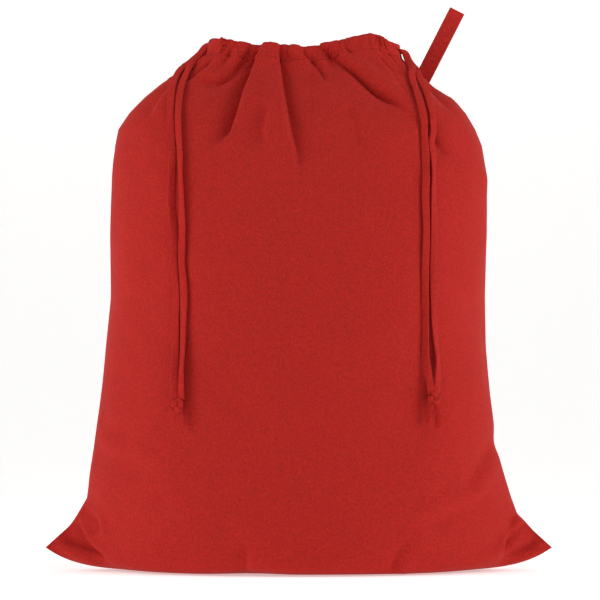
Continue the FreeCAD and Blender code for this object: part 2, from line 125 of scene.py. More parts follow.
def along(values, at):
    """Values of a control list along the spline, at parameters 0..1."""
    values = np.asarray(values, float)
    at = np.asarray(at, float)
    flat = basis(len(values), at.ravel()) @ values
    return flat.reshape(at.shape + values.shape[1:])


def smooth(value, low=0.0, high=1.0):
    """0 below low, 1 above high, and an S-curve between."""
    t = np.clip((np.asarray(value, float) - low) / (high - low), 0, 1)
    return t * t * (3 - 2 * t)


def unit(vectors):
    """Vectors scaled to a length of 1."""
    return vectors / np.maximum(np.linalg.norm(vectors, axis=-1, keepdims=True), 1e-9)


def squared(look, tangent):
    """The part of look that is square to a unit tangent, with a length of 1."""
    return unit(look - (look * tangent).sum(-1, keepdims=True) * tangent)


def run_length(points):
    """Length along a row of points, from 0 at the first."""
    return np.concatenate([[0], np.cumsum(np.linalg.norm(np.diff(points, axis=0), axis=1))])


def read_along(points, lengths, at):
    """Points of a row, or other values at them, read at these lengths along it."""
    return np.stack([np.interp(at, lengths, column) for column in points.T], -1)


def averaged(points, kernel, mode="edge", **how):
    """A row of points, each averaged with its neighbours by the kernel."""
    reach = len(kernel) // 2
    padded = np.pad(points, ((reach, reach), (0, 0)), mode, **how)
    return np.stack([np.convolve(column, kernel, "valid") for column in padded.T], -1)


def linear(hex_colour):
    """Linear-light red, green, blue and alpha of an sRGB hex colour."""
    parts = [int(hex_colour[i:i + 2], 16) / 255 for i in (1, 3, 5)]
    return [c / 12.92 if c <= 0.04045 else ((c + 0.055) / 1.055) ** 2.4 for c in parts] + [1.0]


def new_mesh(name, points, faces, flat=0):
    """A mesh object from points in metres and its faces' corners. All but the last flat faces are smooth."""
    mesh = bpy.data.meshes.new(name)
    faces = faces if isinstance(faces, list) else faces.tolist()
    mesh.from_pydata(points.reshape(-1, 3).tolist(), [], faces)
    mesh.polygons.foreach_set("use_smooth", [True] * (len(faces) - flat) + [False] * flat)
    mesh.update()
    thing = bpy.data.objects.new(name, mesh)
    bpy.context.scene.collection.objects.link(thing)
    return thing


def grid_faces(rows, columns, closed=False, flip=False, start=0):
    """Quads of a grid of points, row by row. closed joins each row's last point to its first."""
    r = np.arange(rows - 1)[:, None] * columns
    c = np.arange(columns if closed else columns - 1)[None, :]
    after = (c + 1) % columns
    quads = np.stack([r + c, r + after, r + columns + after, r + columns + c], -1).reshape(-1, 4) + start
    return quads[:, ::-1] if flip else quads


def tube_faces(rings, around):
    """Faces of a tube of rings, closed round, with a cap at both ends."""
    last = (rings - 1) * around
    caps = [list(range(around))[::-1], list(range(last, last + around))]
    return grid_faces(rings, around, closed=True).tolist() + caps


def add_uv(thing, uv_of_vertex, name="Flat"):
    """A UV map from one (u, v) pair per vertex."""
    mesh = thing.data
    corner = np.zeros(len(mesh.loops), int)
    mesh.loops.foreach_get("vertex_index", corner)
    layer = mesh.uv_layers.new(name=name)
    layer.data.foreach_set("uv", np.asarray(uv_of_vertex, float)[corner].ravel())


def ring_uv(thing, around, length):
    """A UV map for rings of points, from the distance round each ring and the distance along the rings."""
    add_uv(thing, np.stack(np.broadcast_arrays(around[None, :], length[:, None]), -1).reshape(-1, 2))


def report(thing):
    """Prints a piece's size in millimetres and its faces."""
    co = np.array([v.co for v in thing.data.vertices])
    size = np.round((co.max(0) - co.min(0)) / MM, 1)
    print("%-32s %s mm, %d faces" % (thing.name, size, len(thing.data.polygons)))
    return thing


# %% [markdown]
# ## Floor, light and camera
# A plain pale floor that runs up into a backdrop, and broad soft light from both sides with a weaker fill
# in front, as for a catalogue. Broad lights keep the cloth's folds readable without hard shadows. The
# camera is level with the middle of the sack, far off with a long lens.

# %% Floor, lights and camera
CENTRE_X, CENTRE_Z = 0.0015, 0.327
LENS = 300.0
SENSOR = 36.0
VIEW_WIDTH = 0.725          # what the picture takes in at the sack's middle
CAMERA_DISTANCE = VIEW_WIDTH * LENS / SENSOR
CAMERA_LIFT = math.radians(0.3)


def look_at(thing, spot):
    """Turns a camera or lamp, which look along their own -Z, to a spot."""
    thing.rotation_euler = (Vector(spot) - thing.location).to_track_quat("-Z", "Y").to_euler()


def build_stage():
    """A floor that curves up behind the sack: flat, a quarter turn, then upright."""
    turn = np.linspace(0, math.pi / 2, 16)
    radius = 1.2
    floor_y = np.concatenate([[-9.0], 2.6 + radius * np.sin(turn), [2.6 + radius]])
    floor_z = np.concatenate([[0.0], radius * (1 - np.cos(turn)), [5.0]])
    sides = np.array([-6.0, 6.0])
    points = np.stack(np.broadcast_arrays(sides[None, :], floor_y[:, None], floor_z[:, None]), -1)
    floor = new_mesh("floor", points, grid_faces(len(floor_y), 2))
    floor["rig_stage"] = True
    return floor


def soft_light(name, place, spot, size, watts):
    """A rectangular area light."""
    data = bpy.data.lights.new(name, "AREA")
    data.shape = "RECTANGLE"
    data.size, data.size_y = size
    data.energy = watts
    lamp = bpy.data.objects.new(name, data)
    bpy.context.scene.collection.objects.link(lamp)
    lamp.location = place
    look_at(lamp, spot)
    return lamp


floor = build_stage()
SOFT_LIGHTS = {                  # place, width and height in metres, and power in watts
    "left_softbox": ((-2.2, -0.75, 0.85), (0, 0, 0.32), (1.1, 1.9), 30),
    "right_softbox": ((2.2, -0.8, 0.85), (0, 0, 0.32), (1.1, 1.9), 31),
    "top_light": ((0.1, -0.5, 2.3), (0, 0, 0.3), (1.4, 1.0), 10),
    "front_fill": ((0.0, -3.6, 0.8), (0, 0, 0.3), (2.0, 1.4), 5),
}
for light_name, settings in SOFT_LIGHTS.items():
    soft_light(light_name, *settings)
world = bpy.data.worlds.new("studio")
bpy.context.scene.world = world
world.use_nodes = True
world.node_tree.nodes["Background"].inputs["Color"].default_value = linear("#ffffff")
world.node_tree.nodes["Background"].inputs["Strength"].default_value = 0.22

camera_data = bpy.data.cameras.new("camera")
camera_data.lens = LENS
camera_data.sensor_width = SENSOR
camera = bpy.data.objects.new("camera", camera_data)
bpy.context.scene.collection.objects.link(camera)
bpy.context.scene.camera = camera
camera.location = (CENTRE_X, -CAMERA_DISTANCE * math.cos(CAMERA_LIFT),
                   CENTRE_Z + CAMERA_DISTANCE * math.sin(CAMERA_LIFT))
look_at(camera, (CENTRE_X, 0.0, CENTRE_Z))
bpy.context.scene.view_settings.view_transform = "Standard"
print("camera", round(CAMERA_DISTANCE, 2), "m away")

# %% [markdown]
# ## The sack's cloth
# Each panel is drawn on two parameters: the angle round the sack (0 at the middle, 90 degrees at the side
# seam) and the height up the cloth (0 at the bottom seam, 1 at the hem's stitching). Every station gives
# the side seam's place, the middle's depth and height, and two powers that shape the section between them.

# %% Surface of a full sack, without its folds
STATIONS = np.array([
    # side x, side z, depth, middle z, squareness, edge power
    (306, 28, 0, 0, 2.0, 8), (294, 39, 59, 0, 1.9, 8), (281, 50, 118, 0, 1.75, 7), (268, 66, 135, 7, 1.6, 6),
    (258, 88, 143, 30, 1.35, 6), (249, 122, 148, 84, 1.15, 4), (241, 175, 151, 155, 1.0, 3),
    (232, 255, 151, 250, 1.0, 2), (228, 350, 149, 350, 1.0, 2), (228, 435, 141, 440, 1.0, 2),
    (226, 500, 123, 510, 0.95, 2), (214, 539, 97, 560, 0.85, 2), (174, 583, 66, 595, 0.7, 2),
    (142, 608, 49, 611, 0.6, 2), (121, 622, 43, 622, 0.5, 2)], float)
LEFT_EDGE = np.array([(49, 279), (69, 267), (88, 256), (127, 251), (175, 244), (214, 238), (272, 233),
                      (330, 227), (407, 228), (475, 226), (513, 222), (533, 218), (552, 205), (571, 187),
                      (590, 165), (622, 122)])
RIGHT_EDGE = np.array([(49, 284), (69, 264), (88, 257), (127, 245), (156, 235), (175, 236), (214, 231),
                       (272, 226), (330, 225), (407, 227), (475, 227), (513, 221), (533, 213), (552, 202),
                       (571, 185), (590, 163), (622, 134)])
HEM_LINE = np.array([(-130, 640), (-99, 644), (-76, 640), (-53, 637), (-23, 637), (8, 634), (38, 638),
                     (66, 645), (88, 649), (108, 644), (122, 636), (140, 630)])
SLIDE = 26.0            # each casing's travel, mm
HEM_HALF = 32.0         # half depth of the soft hem ends between the two casings
# Between these heights the side cloth widens at the neck, more and more, and the panels give way to it. At
# the back it starts higher, so that the loop's foot stays on it.
BEND = {-1: (420.0, 600.0), 1: (572.0, 612.0)}


def lean(z):
    """Sideways shift of the neck: 6 mm at the rim, nothing below the shoulders."""
    return 6.0 * smooth(z, 470, 622)


def bare(angle, height, facing):
    """A point of the smooth sack in mm: the spline over the stations, in height, of
    x = side * sin(angle) + lean, y = facing * (0.1 + depth * cos(angle) ** squareness) and
    z = middle + (side - middle) * |sin(angle)| ** edge power, then the side seams eased to their own line."""
    angle, height = np.broadcast_arrays(np.asarray(angle, float), np.asarray(height, float))
    weights = basis(len(STATIONS), height.ravel())
    sine, cosine = np.sin(angle.ravel()), np.maximum(np.cos(angle.ravel()), 0)
    x = z = y = edge_x = edge_z = 0
    for k, (side_x, side_z, depth, middle_z, square, power) in enumerate(STATIONS):
        pole_z = middle_z + (side_z - middle_z) * np.abs(sine) ** power
        x = x + weights[:, k] * (side_x * sine + lean(pole_z))
        y = y + weights[:, k] * (0.1 + depth * cosine ** square)
        z = z + weights[:, k] * pole_z
        edge_x = edge_x + weights[:, k] * side_x
        edge_z = edge_z + weights[:, k] * side_z
    wanted = np.where(sine < 0, np.interp(edge_z, *LEFT_EDGE.T), np.interp(edge_z, *RIGHT_EDGE.T))
    wanted = wanted - np.sign(sine + 1e-12) * lean(edge_z)
    ease = (wanted - edge_x) * smooth(edge_z, 45, 70) * (1 - smooth(edge_z, 585, 618))
    x = x + np.sign(sine) * ease * np.abs(sine) ** 3
    z = z + (np.interp(x, *HEM_LINE.T) - 641.5) * smooth(z, 560, 622)
    return np.stack([x, facing * y, z], -1).reshape(angle.shape + (3,))


# %% [markdown]
# ## Gathers and folds
# Folds are heights above the smooth surface, along its outward normal. The gathers are rounded lobes
# between sharp valleys, close together at the hem and joining into fewer, broader ones below. The larger
# folds are placed one by one, each a line with a width, a depth and a soft ridge at its side.

# %% Fold fields
def wander(x, y, cell, seed):
    """Smooth random height, about -1 to 1: bilinear S-curve steps between random values on a square grid."""
    size = 97
    table = np.random.default_rng(seed).uniform(-1, 1, (size, size))
    gx, gy = x / cell, y / cell
    ix, iy = np.floor(gx).astype(int), np.floor(gy).astype(int)
    fx, fy = smooth(gx - ix), smooth(gy - iy)
    low, high = ((1 - fx) * table[ix % size, row % size] + fx * table[(ix + 1) % size, row % size]
                 for row in (iy, iy + 1))
    return low * (1 - fy) + high * fy


def lobes(phase):
    """Rounded tops between sharp valleys, mean about zero: |sin(phase / 2)| ** 0.45 - 0.76."""
    return np.abs(np.sin(phase / 2)) ** 0.45 - 0.76


def gathers(angle, points, facing):
    """Gathered cloth under the hem: three sizes of lobe, each fading further down, all uneven."""
    seed = 3 if facing < 0 else 31
    z = points[..., 2] + 0 * angle
    low = wander(angle * 90, z * 0.02, 20, seed)
    fine = 2.2 * lobes(52 * angle + 5 * wander(angle * 60, z * 0.1, 14, seed + 1)) * smooth(z, 592, 616)
    middle = 4.2 * lobes(21 * angle + 3.4 * wander(angle * 50, z * 0.12, 22, seed + 2))
    middle = middle * smooth(z, 560, 612) ** 1.2 * (1 - 0.35 * smooth(z, 606, 624))
    broad = 5.0 * lobes(8.3 * angle + 2.2 * low + 0.8) * smooth(z, 500, 600) * (1 - 0.7 * smooth(z, 600, 626))
    uneven = 0.62 + 0.38 * wander(angle * 70, z * 0.15, 25, seed + 3)
    total = fine * (0.8 + 0.5 * low) + middle * uneven + broad * 0.62
    return np.where(total < 0, -6.5 * np.tanh(-total / 6.5), total)


# line of (x, z), half width at its top and bottom, depth and ridge height in mm, side of the ridge (-1 left)
FRONT_FOLDS = [
    ([(-56.5, 637), (-83, 597), (-95, 589.5), (-115.7, 590.7), (-132.6, 577.4)], 3.5, 6, 5.5, 2.5, -1),
    ([(-45.6, 634), (-52.9, 617), (-58.9, 598), (-67.3, 577), (-73.4, 553), (-83, 527), (-92.7, 517),
      (-104.8, 511)], 5.0, 10, 13, 4.0, 1),
    ([(-22.6, 636), (-24.5, 620), (-20.2, 583), (-13, 535), (-2.1, 493), (5.1, 481)], 4.5, 13, 10, 3.5, -1),
    ([(-11.8, 634), (-13, 623), (-2.1, 612)], 3.0, 5, 4, 1.5, 1),
    ([(2.7, 634), (5.1, 624), (19.6, 610), (29.3, 592), (42.6, 586)], 3.2, 7, 5.5, 2, -1),
    ([(23.3, 636), (68, 604), (92.1, 581), (116.3, 563), (144.1, 537.6)], 4.0, 9, 11, 5.0, 1),
    ([(54.7, 644), (57.1, 629), (66.7, 620)], 3.0, 5, 4.5, 2, 1),
    ([(96, 622), (112, 603), (128, 592)], 3.0, 6, 4, 2, -1),
    ([(144, 605), (158, 590), (172, 571), (190, 545)], 5, 9, 5, 3, 1),
    ([(158.6, 537), (167, 513), (181, 500)], 7, 10, 5, 2, 1),
    ([(-96, 628), (-112, 607), (-128, 594), (-150, 583)], 3.5, 7, 5, 2.5, 1),
    ([(-80, 632), (-92, 612), (-104, 603)], 3, 5, 4, 2, -1),
    ([(-150, 588), (-168, 566), (-180, 545)], 6, 10, 4, 2, 1),
    ([(-33, 560), (-40, 535), (-42, 505)], 8, 14, 3, 1.5, 1),
    ([(60, 560), (72, 530), (78, 490)], 10, 18, 3.2, 1.5, 1),
    ([(231, 151), (214, 122), (192, 93)], 6, 9, 4.5, 2, 1),
    ([(226, 95), (195, 82), (165, 70), (137, 62)], 6, 10, 5, 2.5, -1),
    ([(262, 66), (255, 45), (249, 22)], 5, 7, 5, 2.5, 1),
    ([(296, 40), (279, 26), (258, 15), (236, 8)], 3.5, 7, 9, 5, 1),
    ([(270, 60), (256, 40), (247, 14)], 3, 6, 6, 3, -1),
    ([(-262, 80), (-244, 66), (-240, 52), (-256, 42)], 3, 5, 5, 2.5, 1),
    ([(-268, 60), (-256, 34), (-238, 10)], 3, 6, 6, 3, 1),
    ([(-290, 40), (-262, 26), (-222, 5)], 3.5, 8, 10, 5, -1),
    ([(-244, 149), (-205, 138), (-168, 124)], 8, 12, 4, 2, 1),
    ([(-236, 190), (-214, 176), (-190, 170)], 8, 12, 2.2, 1, 1),
    ([(-62, 2), (-60, 20), (-54, 46)], 6, 12, 4, 1.5, 1),
    ([(110, 4), (118, 26), (136, 44)], 6, 12, 3, 1.5, 1),
    ([(225, 330), (214, 316), (196, 310)], 8, 12, 1.6, 0.8, 1),
]
BACK_FOLDS = [
    ([(-60, 637), (-70, 600), (-92, 560), (-118, 528)], 4.5, 11, 10, 4, -1),
    ([(-20, 637), (-18, 600), (-26, 555), (-40, 505)], 4.5, 13, 11, 4, 1),
    ([(22, 637), (26, 604), (34, 560), (30, 500)], 4.5, 13, 9, 4, -1),
    ([(58, 640), (76, 600), (112, 560), (140, 520)], 4.5, 11, 9, 4, 1),
    ([(-95, 630), (-118, 596), (-150, 566)], 4, 8, 6, 3, -1),
    ([(100, 628), (122, 600), (158, 580)], 4, 8, 5, 3, 1),
    ([(-232, 150), (-204, 120), (-176, 98)], 6, 10, 5, 2, 1),
    ([(232, 160), (200, 130), (170, 108)], 6, 10, 5, 2, 1),
    ([(-278, 44), (-250, 24), (-220, 8)], 4, 8, 5, 3, 1),
    ([(278, 44), (252, 24), (222, 8)], 4, 8, 5, 3, 1),
    ([(20, 4), (28, 30), (22, 56)], 7, 13, 4, 2, 1),
]
FOLD_STEPS = 56             # points along each fold's line
FOLD_REACH = 60             # cloth further than this from a line is left alone, mm


def fold_heights(x, z, folds):
    """Sum over the folds, d mm from each line and with half width w there: a hollow of 1.35 depth exp(-d
    / 1.5 w) on one side and, on the other, a quick rise exp(-(d / 0.42 w) ** 2) back to a soft ridge,
    each faded in and out along the line. The ridge leans over the hollow, by 0.62 w at 0.6 w from the
    line. Gives the heights and the shifts in x and z."""
    total, lean_x, lean_z = np.zeros_like(x), np.zeros_like(x), np.zeros_like(x)
    for line, top_width, low_width, depth, ridge, side in folds:
        if line[0][1] > 628:
            line = [(line[0][0] + 0.5 * (line[0][0] - line[1][0]), line[0][1] + 18)] + line
        t = np.linspace(0, 1, FOLD_STEPS)
        points = np.array(line, float)
        path = averaged(read_along(points, np.linspace(0, 1, len(line)), t), np.array([1, 3, 5, 3, 1]) / 13)
        low, high = path.min(0) - FOLD_REACH, path.max(0) + FOLD_REACH
        near = (x > low[0]) & (x < high[0]) & (z > low[1]) & (z < high[1])
        if not near.any():
            continue
        px, pz = x[near], z[near]
        gaps = (px[:, None] - path[None, :, 0]) ** 2 + (pz[:, None] - path[None, :, 1]) ** 2
        closest = gaps.argmin(1)
        share = t[closest]
        upwards = -1 if path[0, 1] > path[-1, 1] else 1
        along_line = np.gradient(path, axis=0)[closest]
        cross = along_line[:, 0] * (pz - path[closest, 1]) - along_line[:, 1] * (px - path[closest, 0])
        distance = np.sqrt(gaps.min(1))
        open_side = -side * np.sign(cross) * distance * upwards
        width = top_width + (low_width - top_width) * share
        fade = smooth(share, -0.02, 0.12) * (1 - smooth(share, 0.62, 1.0) * 0.93)
        beyond = np.where((share <= 0) | (share >= 1), np.exp(-(distance / (1.2 * width)) ** 2), 1)
        hollow = np.exp(-np.maximum(-open_side, 0) / (1.5 * width))
        hollow = hollow * (1 - 0.15 * np.exp(-(open_side / 1.5) ** 2))
        cliff = np.exp(-(np.maximum(open_side, 0) / np.maximum(0.42 * width, 1.9)) ** 2)
        valley = -1.35 * depth * np.where(open_side > 0, cliff, hollow)
        hill = ridge * np.exp(-((open_side - 1.5 * width) / (1.1 * width)) ** 2)
        total[near] += (valley + hill) * fade * beyond
        steep = np.linalg.norm(along_line, axis=1) * upwards * side
        over = 0.62 * width * np.exp(-((open_side / width - 0.6) / 0.7) ** 2)
        over = over * fade * beyond * min(depth / 6, 1)
        lean_x[near] += over * -along_line[:, 1] / steep
        lean_z[near] += over * along_line[:, 0] / steep
    return total, lean_x, lean_z


def folds(angle, points, facing):
    """The heights of one panel's cloth above the smooth sack, and its shifts in x and z, all in mm."""
    x, z = points[..., 0], points[..., 2]
    at_seam = smooth(np.cos(angle), -0.02, 0.10) * (1 - 0.42 * smooth(z, 600, 634))
    placed, over_x, over_z = (value.reshape(x.shape) * at_seam for value in
                              fold_heights(x.ravel(), z.ravel(), FRONT_FOLDS if facing < 0 else BACK_FOLDS))
    behind = int(facing > 0)
    soft = 2.9 * wander(x + 500, z + 500, 88, 51 + behind)
    soft = soft + 0.9 * wander(x + 0.5 * z + 500, z * 1.6 + 500, 46, 53 + behind)
    fine = 0.3 * wander(x + 900, z + 900, 15, 55 + behind)
    steady = smooth(z, 4, 40)
    in_seam = smooth(np.cos(angle), 0.0, 0.16)
    creased = 0.95 * wander(0.7 * x + 0.7 * z + 800, 0.28 * z - 0.28 * x + 800, 17, 57)
    creased = creased * smooth(z, 20, 90) * (1 - smooth(z, 520, 600))
    rise = placed + gathers(angle, points, facing) * smooth(np.cos(angle), 0.0, 0.22)
    rise = rise + (soft * (1 - 0.5 * smooth(z, 560, 620)) + fine + creased) * steady * in_seam
    return rise, over_x, over_z


# %% [markdown]
# ## From one surface to pieces
# The same surface is cut into a front, a back and, at the neck, two side gussets. Each casing draws inwards
# over its travel. Between two heights the side cloth's half depth at its edges grows to that of the hem ends,
# and the front and back end where it begins, so the pieces meet.

# %% Grids over the surface
# Rows up the cloth: even over the body, and close together at the neck.
ROWS = np.concatenate([np.linspace(0, 0.68, 84, endpoint=False), np.linspace(0.68, 1, 112)])
DENSE = np.linspace(-np.pi / 2, np.pi / 2, 721)


def follow(z, facing):
    """Share from 0 to 1 at this height, rising between the BEND heights: the side cloth's half depth there is
    HEM_HALF times it.
    """
    return smooth(z, *BEND[facing])


def edge_angles(facing):
    """The angles where the side cloth ends in each row: its half depth there is HEM_HALF * follow(z)."""
    grid = bare(DENSE[None, :], ROWS[:, None], -1)
    inside = -grid[..., 1] - HEM_HALF * follow(grid[..., 2], facing)
    middle = len(DENSE) // 2
    edges = []
    for end, half, order in ((0, slice(0, middle + 1), 1), (-1, slice(middle, None), -1)):
        outer = DENSE[end]
        edges.append(np.array([np.interp(0, order * row[half], DENSE[half])
                               if row[end] < 0 and follow(line[end, 2], facing) > 0 else outer
                               for row, line in zip(inside, grid)]))
    return edges


EDGES = {facing: edge_angles(facing) for facing in (-1, 1)}


def spread(first, last, count, height):
    """count angles from first to last, evenly spaced along the cloth at that height."""
    angles = np.linspace(first, last, 241)
    line = bare(angles, np.full(241, height), -1)
    length = run_length(line)
    return np.interp(np.linspace(0, length[-1], count), length, angles)


def outward_normal(angle, height, facing):
    """Unit normal of the smooth sack, from its slopes round it and up it."""
    step = 1e-3
    inner_angle = np.clip(angle, -np.pi / 2 + 0.004, np.pi / 2 - 0.004)
    inner_height = np.clip(height, 0.002, 0.998)
    across = bare(inner_angle + step, inner_height, facing) - bare(inner_angle - step, inner_height, facing)
    up = bare(inner_angle, inner_height + step, facing) - bare(inner_angle, inner_height - step, facing)
    return unit(np.cross(across, up) * -facing)


def cloth(angle, height, facing):
    """The folded sack's surface in mm: the smooth one plus its folds along the outward normal."""
    base = bare(angle, height, facing)
    normal = outward_normal(angle, height, facing)
    rise, over_x, over_z = (value * smooth(height, 0.0, 0.03) for value in folds(angle, base, facing))
    points = base + normal * rise[..., None]
    points[..., 0] += over_x
    points[..., 2] += over_z * (1 - smooth(height, 0.95, 1.0))
    arch = 4 * np.exp(-((base[..., 0] + 60) / 30) ** 2 - ((base[..., 2] - 3) / 16) ** 2) * (facing < 0)
    points[..., 2] += arch * smooth(-base[..., 1], 60, 120)
    points[..., 2] = np.maximum(points[..., 2], 0.3)
    points[..., 1] = facing * np.maximum(facing * points[..., 1], 0.1)
    return points


def panel_grid(facing, columns=236):
    """A front or back panel: rows of points between the side cloths, its edges exactly on their line."""
    angles = np.stack([spread(a, b, columns, h) for a, b, h in zip(*EDGES[facing], ROWS)])
    points = cloth(angles, ROWS[:, None] + 0 * angles, facing)
    for edge, pull in ((0, np.arange(columns)), (-1, np.arange(columns)[::-1])):
        wanted = facing * np.maximum(HEM_HALF * follow(points[:, edge, 2], facing), 0.1)
        points[..., 1] += (wanted - points[:, edge, 1])[:, None] * (1 - smooth(pull, 0, 9))[None, :]
    for _ in range(3):
        around = points[:-2, 1:-1] + points[2:, 1:-1] + points[1:-1, :-2] + points[1:-1, 2:]
        points[1:-1, 1:-1] = 0.4 * points[1:-1, 1:-1] + 0.15 * around
    return angles, points


front_angles, front_points = panel_grid(-1)
back_angles, back_points = panel_grid(1)
print("front panel", np.round(front_points.min((0, 1)), 1), np.round(front_points.max((0, 1)), 1))


# %% [markdown]
# ## Cloth pieces
# The panels become one mesh each, given a second layer inwards for the cloth's thickness. The UV map is the
# flat panel in metres, so the weave keeps its real thread spacing.

# %% Front and back panels
CLOTH_THICK = 0.0011


def flat_map(points):
    """Flat coordinates of a grid in metres: the length along each row from its middle, and up the middle
    column."""
    across = np.stack([run_length(row) for row in points])
    across = across - across[:, -1:] / 2
    up = run_length(points[:, points.shape[1] // 2])
    return np.stack([across, np.broadcast_to(up[:, None], across.shape)], -1).reshape(-1, 2) * MM


def thicken(thing):
    """A second layer of the cloth, inwards by its thickness."""
    layer = thing.modifiers.new("layers", "SOLIDIFY")
    layer.thickness = CLOTH_THICK
    layer.offset = -1


def cloth_piece(name, points, flip):
    """A mesh of one piece of cloth, its cells cut along their short diagonals and given a thickness."""
    thing = new_mesh(name, points * MM, grid_faces(*points.shape[:2], flip=flip))
    add_uv(thing, flat_map(points))
    split = thing.modifiers.new("short_diagonals", "TRIANGULATE")
    split.quad_method = "SHORTEST_DIAGONAL"
    thicken(thing)
    return thing


front = cloth_piece("front_panel_cloth", front_points, False)
back = cloth_piece("back_panel_cloth", back_points, True)
for panel, word, facing in ((front, "front", -1), (back, "back", 1)):
    low, high = BEND[facing]
    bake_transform(panel)
    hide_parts(word + "_panel")
    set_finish(panel, "sack_cloth")
    report(panel)


# %% [markdown]
# The side cloth runs from the front's edge, round the seam, to the back's edge. It starts as a point part
# way up the shoulder, and is widest at the hem. A sewn seam shows as a narrow groove down its middle.

# %% Side cloth at the neck
FIRST_SIDE_ROW = int(np.argmax(EDGES[-1][0] > -np.pi / 2 + 1e-6)) - 1
SIDE_COLUMNS = 25


def side_grid(side):
    """Rows of points from the front's edge to the back's, on one side."""
    rows = np.arange(FIRST_SIDE_ROW, len(ROWS))
    height = ROWS[rows]
    share = np.linspace(0, 1, SIDE_COLUMNS)
    halves = []
    for facing, source in ((-1, front_points), (1, back_points)):
        bounds = EDGES[facing][0 if side < 0 else 1][rows]
        line = np.stack([spread(a, side * np.pi / 2, SIDE_COLUMNS, h) for a, h in zip(bounds, height)])
        points = cloth(line, height[:, None] + 0 * line, facing)
        edge = source[rows][:, 0 if side < 0 else -1]
        points += (edge - points[:, 0])[:, None] * (1 - share)[None, :, None]
        points[:, -1, 1] = 0
        halves.append(points)
    centre = (halves[0][:, -1] + halves[1][:, -1]) / 2
    for points in halves:
        points += (centre - points[:, -1])[:, None] * share[None, :, None] ** 2
    halves[1] = halves[1][:, ::-1]
    grid = np.concatenate([halves[0], halves[1][:, 1:]], 1)
    groove = 1.2 * np.exp(-(grid[..., 1] / 1.8) ** 2)
    grid[..., 0] -= side * groove
    return grid


side_pieces = {}
for side, name in ((-1, "left"), (1, "right")):
    grid = side_grid(side)
    side_pieces[name] = grid
    piece = cloth_piece(name + "_side_cloth", grid, side < 0)
    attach(piece, "sack")
    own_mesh(piece)
    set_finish(piece, "sack_cloth")
    report(piece)


# %% [markdown]
# ## The hem round the mouth
# The hem is the same cloth turned over at the top edge and stitched down inside. Its section is drawn once,
# as an offset outwards and a height above the stitching, and carried round the mouth on the gathered edge.

# %% Hem and its stitching
HEM_SECTION = np.array([(0, 0), (-1.1, 2.5), (-2.5, 6), (-3.9, 10), (-5.3, 14), (-6.8, 17.4), (-8.7, 19.4),
                        (-11, 18.6), (-12, 15.5), (-11, 11), (-9.2, 6), (-6.6, 2.2), (-4.4, 0.4),
                        (-2.6, -1.0)])
HEM_STEPS = 26
EVEN_KERNEL = np.hanning(19)[1:-1] / np.hanning(19).sum()
HEM_T = np.linspace(0, 1, HEM_STEPS)


def hem_grid(rim, below, seed, angles=None, facing=-1):
    """The hem's rows over a rim line: rim + outward * offset + up * height, with small tucks that scallop
    the top edge. below is a row under the rim, for the cloth's own slope. With angles, the panel's folds
    run on over it."""
    section = along(HEM_SECTION, HEM_T)
    inwards, high = section[:, 0], section[:, 1]
    run = unit(averaged(np.gradient(rim[:, :2], axis=0), np.ones(13) / 13))
    out = np.stack([run[:, 1], -run[:, 0], np.zeros(len(rim))], -1)
    length = run_length(rim)
    tuck = lobes(length / 6.5 * 2 * np.pi * 0.5 + 3.2 * wander(length, 0 * length, 19, seed))
    tuck = tuck * (0.6 + 0.6 * wander(length, 0 * length + 90, 17, seed + 5))
    tall = 1 + 0.03 * tuck + 0.03 * wander(length, 0 * length + 40, 14, seed + 1)
    height = high[:, None] * tall[None, :]
    offset = inwards[:, None] + (1.25 * tuck)[None, :] * smooth(high, 2, 15)[:, None]
    if angles is None:
        slope = np.clip((rim - below)[:, :2] / np.maximum((rim - below)[:, 2:3], 0.4), -1.0, 1.0)
        carried = (1.5 * (1 - np.exp(-np.maximum(high, 0) / 1.5)))[:, None, None] * slope[None]
        even = averaged(rim, EVEN_KERNEL, "reflect", reflect_type="odd")
        calm = smooth(high, 0, 11)[:, None, None] * 0.85
        points = rim[None] + (even - rim)[None] * calm + out[None] * offset[..., None]
        points[..., :2] += carried * (1 - calm)
        points[..., 2] += height
    else:
        top = np.ones(len(rim))
        normal = outward_normal(angles, top, facing)
        out = unit(normal * np.array([1, 1, 0]))
        base = bare(angles, top, facing)[None] + out[None] * inwards[:, None, None]
        base[..., 2] += high[:, None]
        rise, over_x, _ = folds(angles[None] + 0 * base[..., 0], base, facing)
        up = smooth(high, 2, 20)[:, None]
        points = base + normal[None] * (rise * (1 - 0.4 * up))[..., None]
        points += out[None] * (offset - inwards[:, None])[..., None]
        points[..., 0] += over_x * (1 - 0.6 * up)
        points += rim - points[0]
        points[..., 2] += height - high[:, None]
    return points, out


INNER_AIR, OUTER_AIR = 0.8, 2.2     # room left by each face of a hem in front of the closed mouth's middle, mm
hem_out = {}
for facing, word, source in ((-1, "front", front_points), (1, "back", back_points)):
    rim, below, angles = source[-1], source[-3], (front_angles if facing < 0 else back_angles)[-1]
    if facing > 0:
        rim, below, angles = rim[::-1], below[::-1], angles[::-1]
    grid, out = hem_grid(rim, below, 71 + facing, angles, facing)
    outer_face = np.arange(HEM_STEPS) < np.argmax(along(HEM_SECTION, HEM_T)[:, 1])
    nearest = SLIDE + INNER_AIR + (OUTER_AIR - INNER_AIR) * outer_face[:, None]
    grid[..., 1] = facing * np.maximum(facing * grid[..., 1], nearest)
    for edge in (0, -1):
        grid[:, edge, 1] = facing * HEM_HALF
    hem = cloth_piece(word + "_hem", grid, False)
    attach(hem, word + "_mouth")
    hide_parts(word + "_casing")
    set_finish(hem, "sack_cloth")
    hem_out[word] = (grid, out)
    report(hem)


OPENING_HALF = 12.0         # half the width of each cord opening, mm


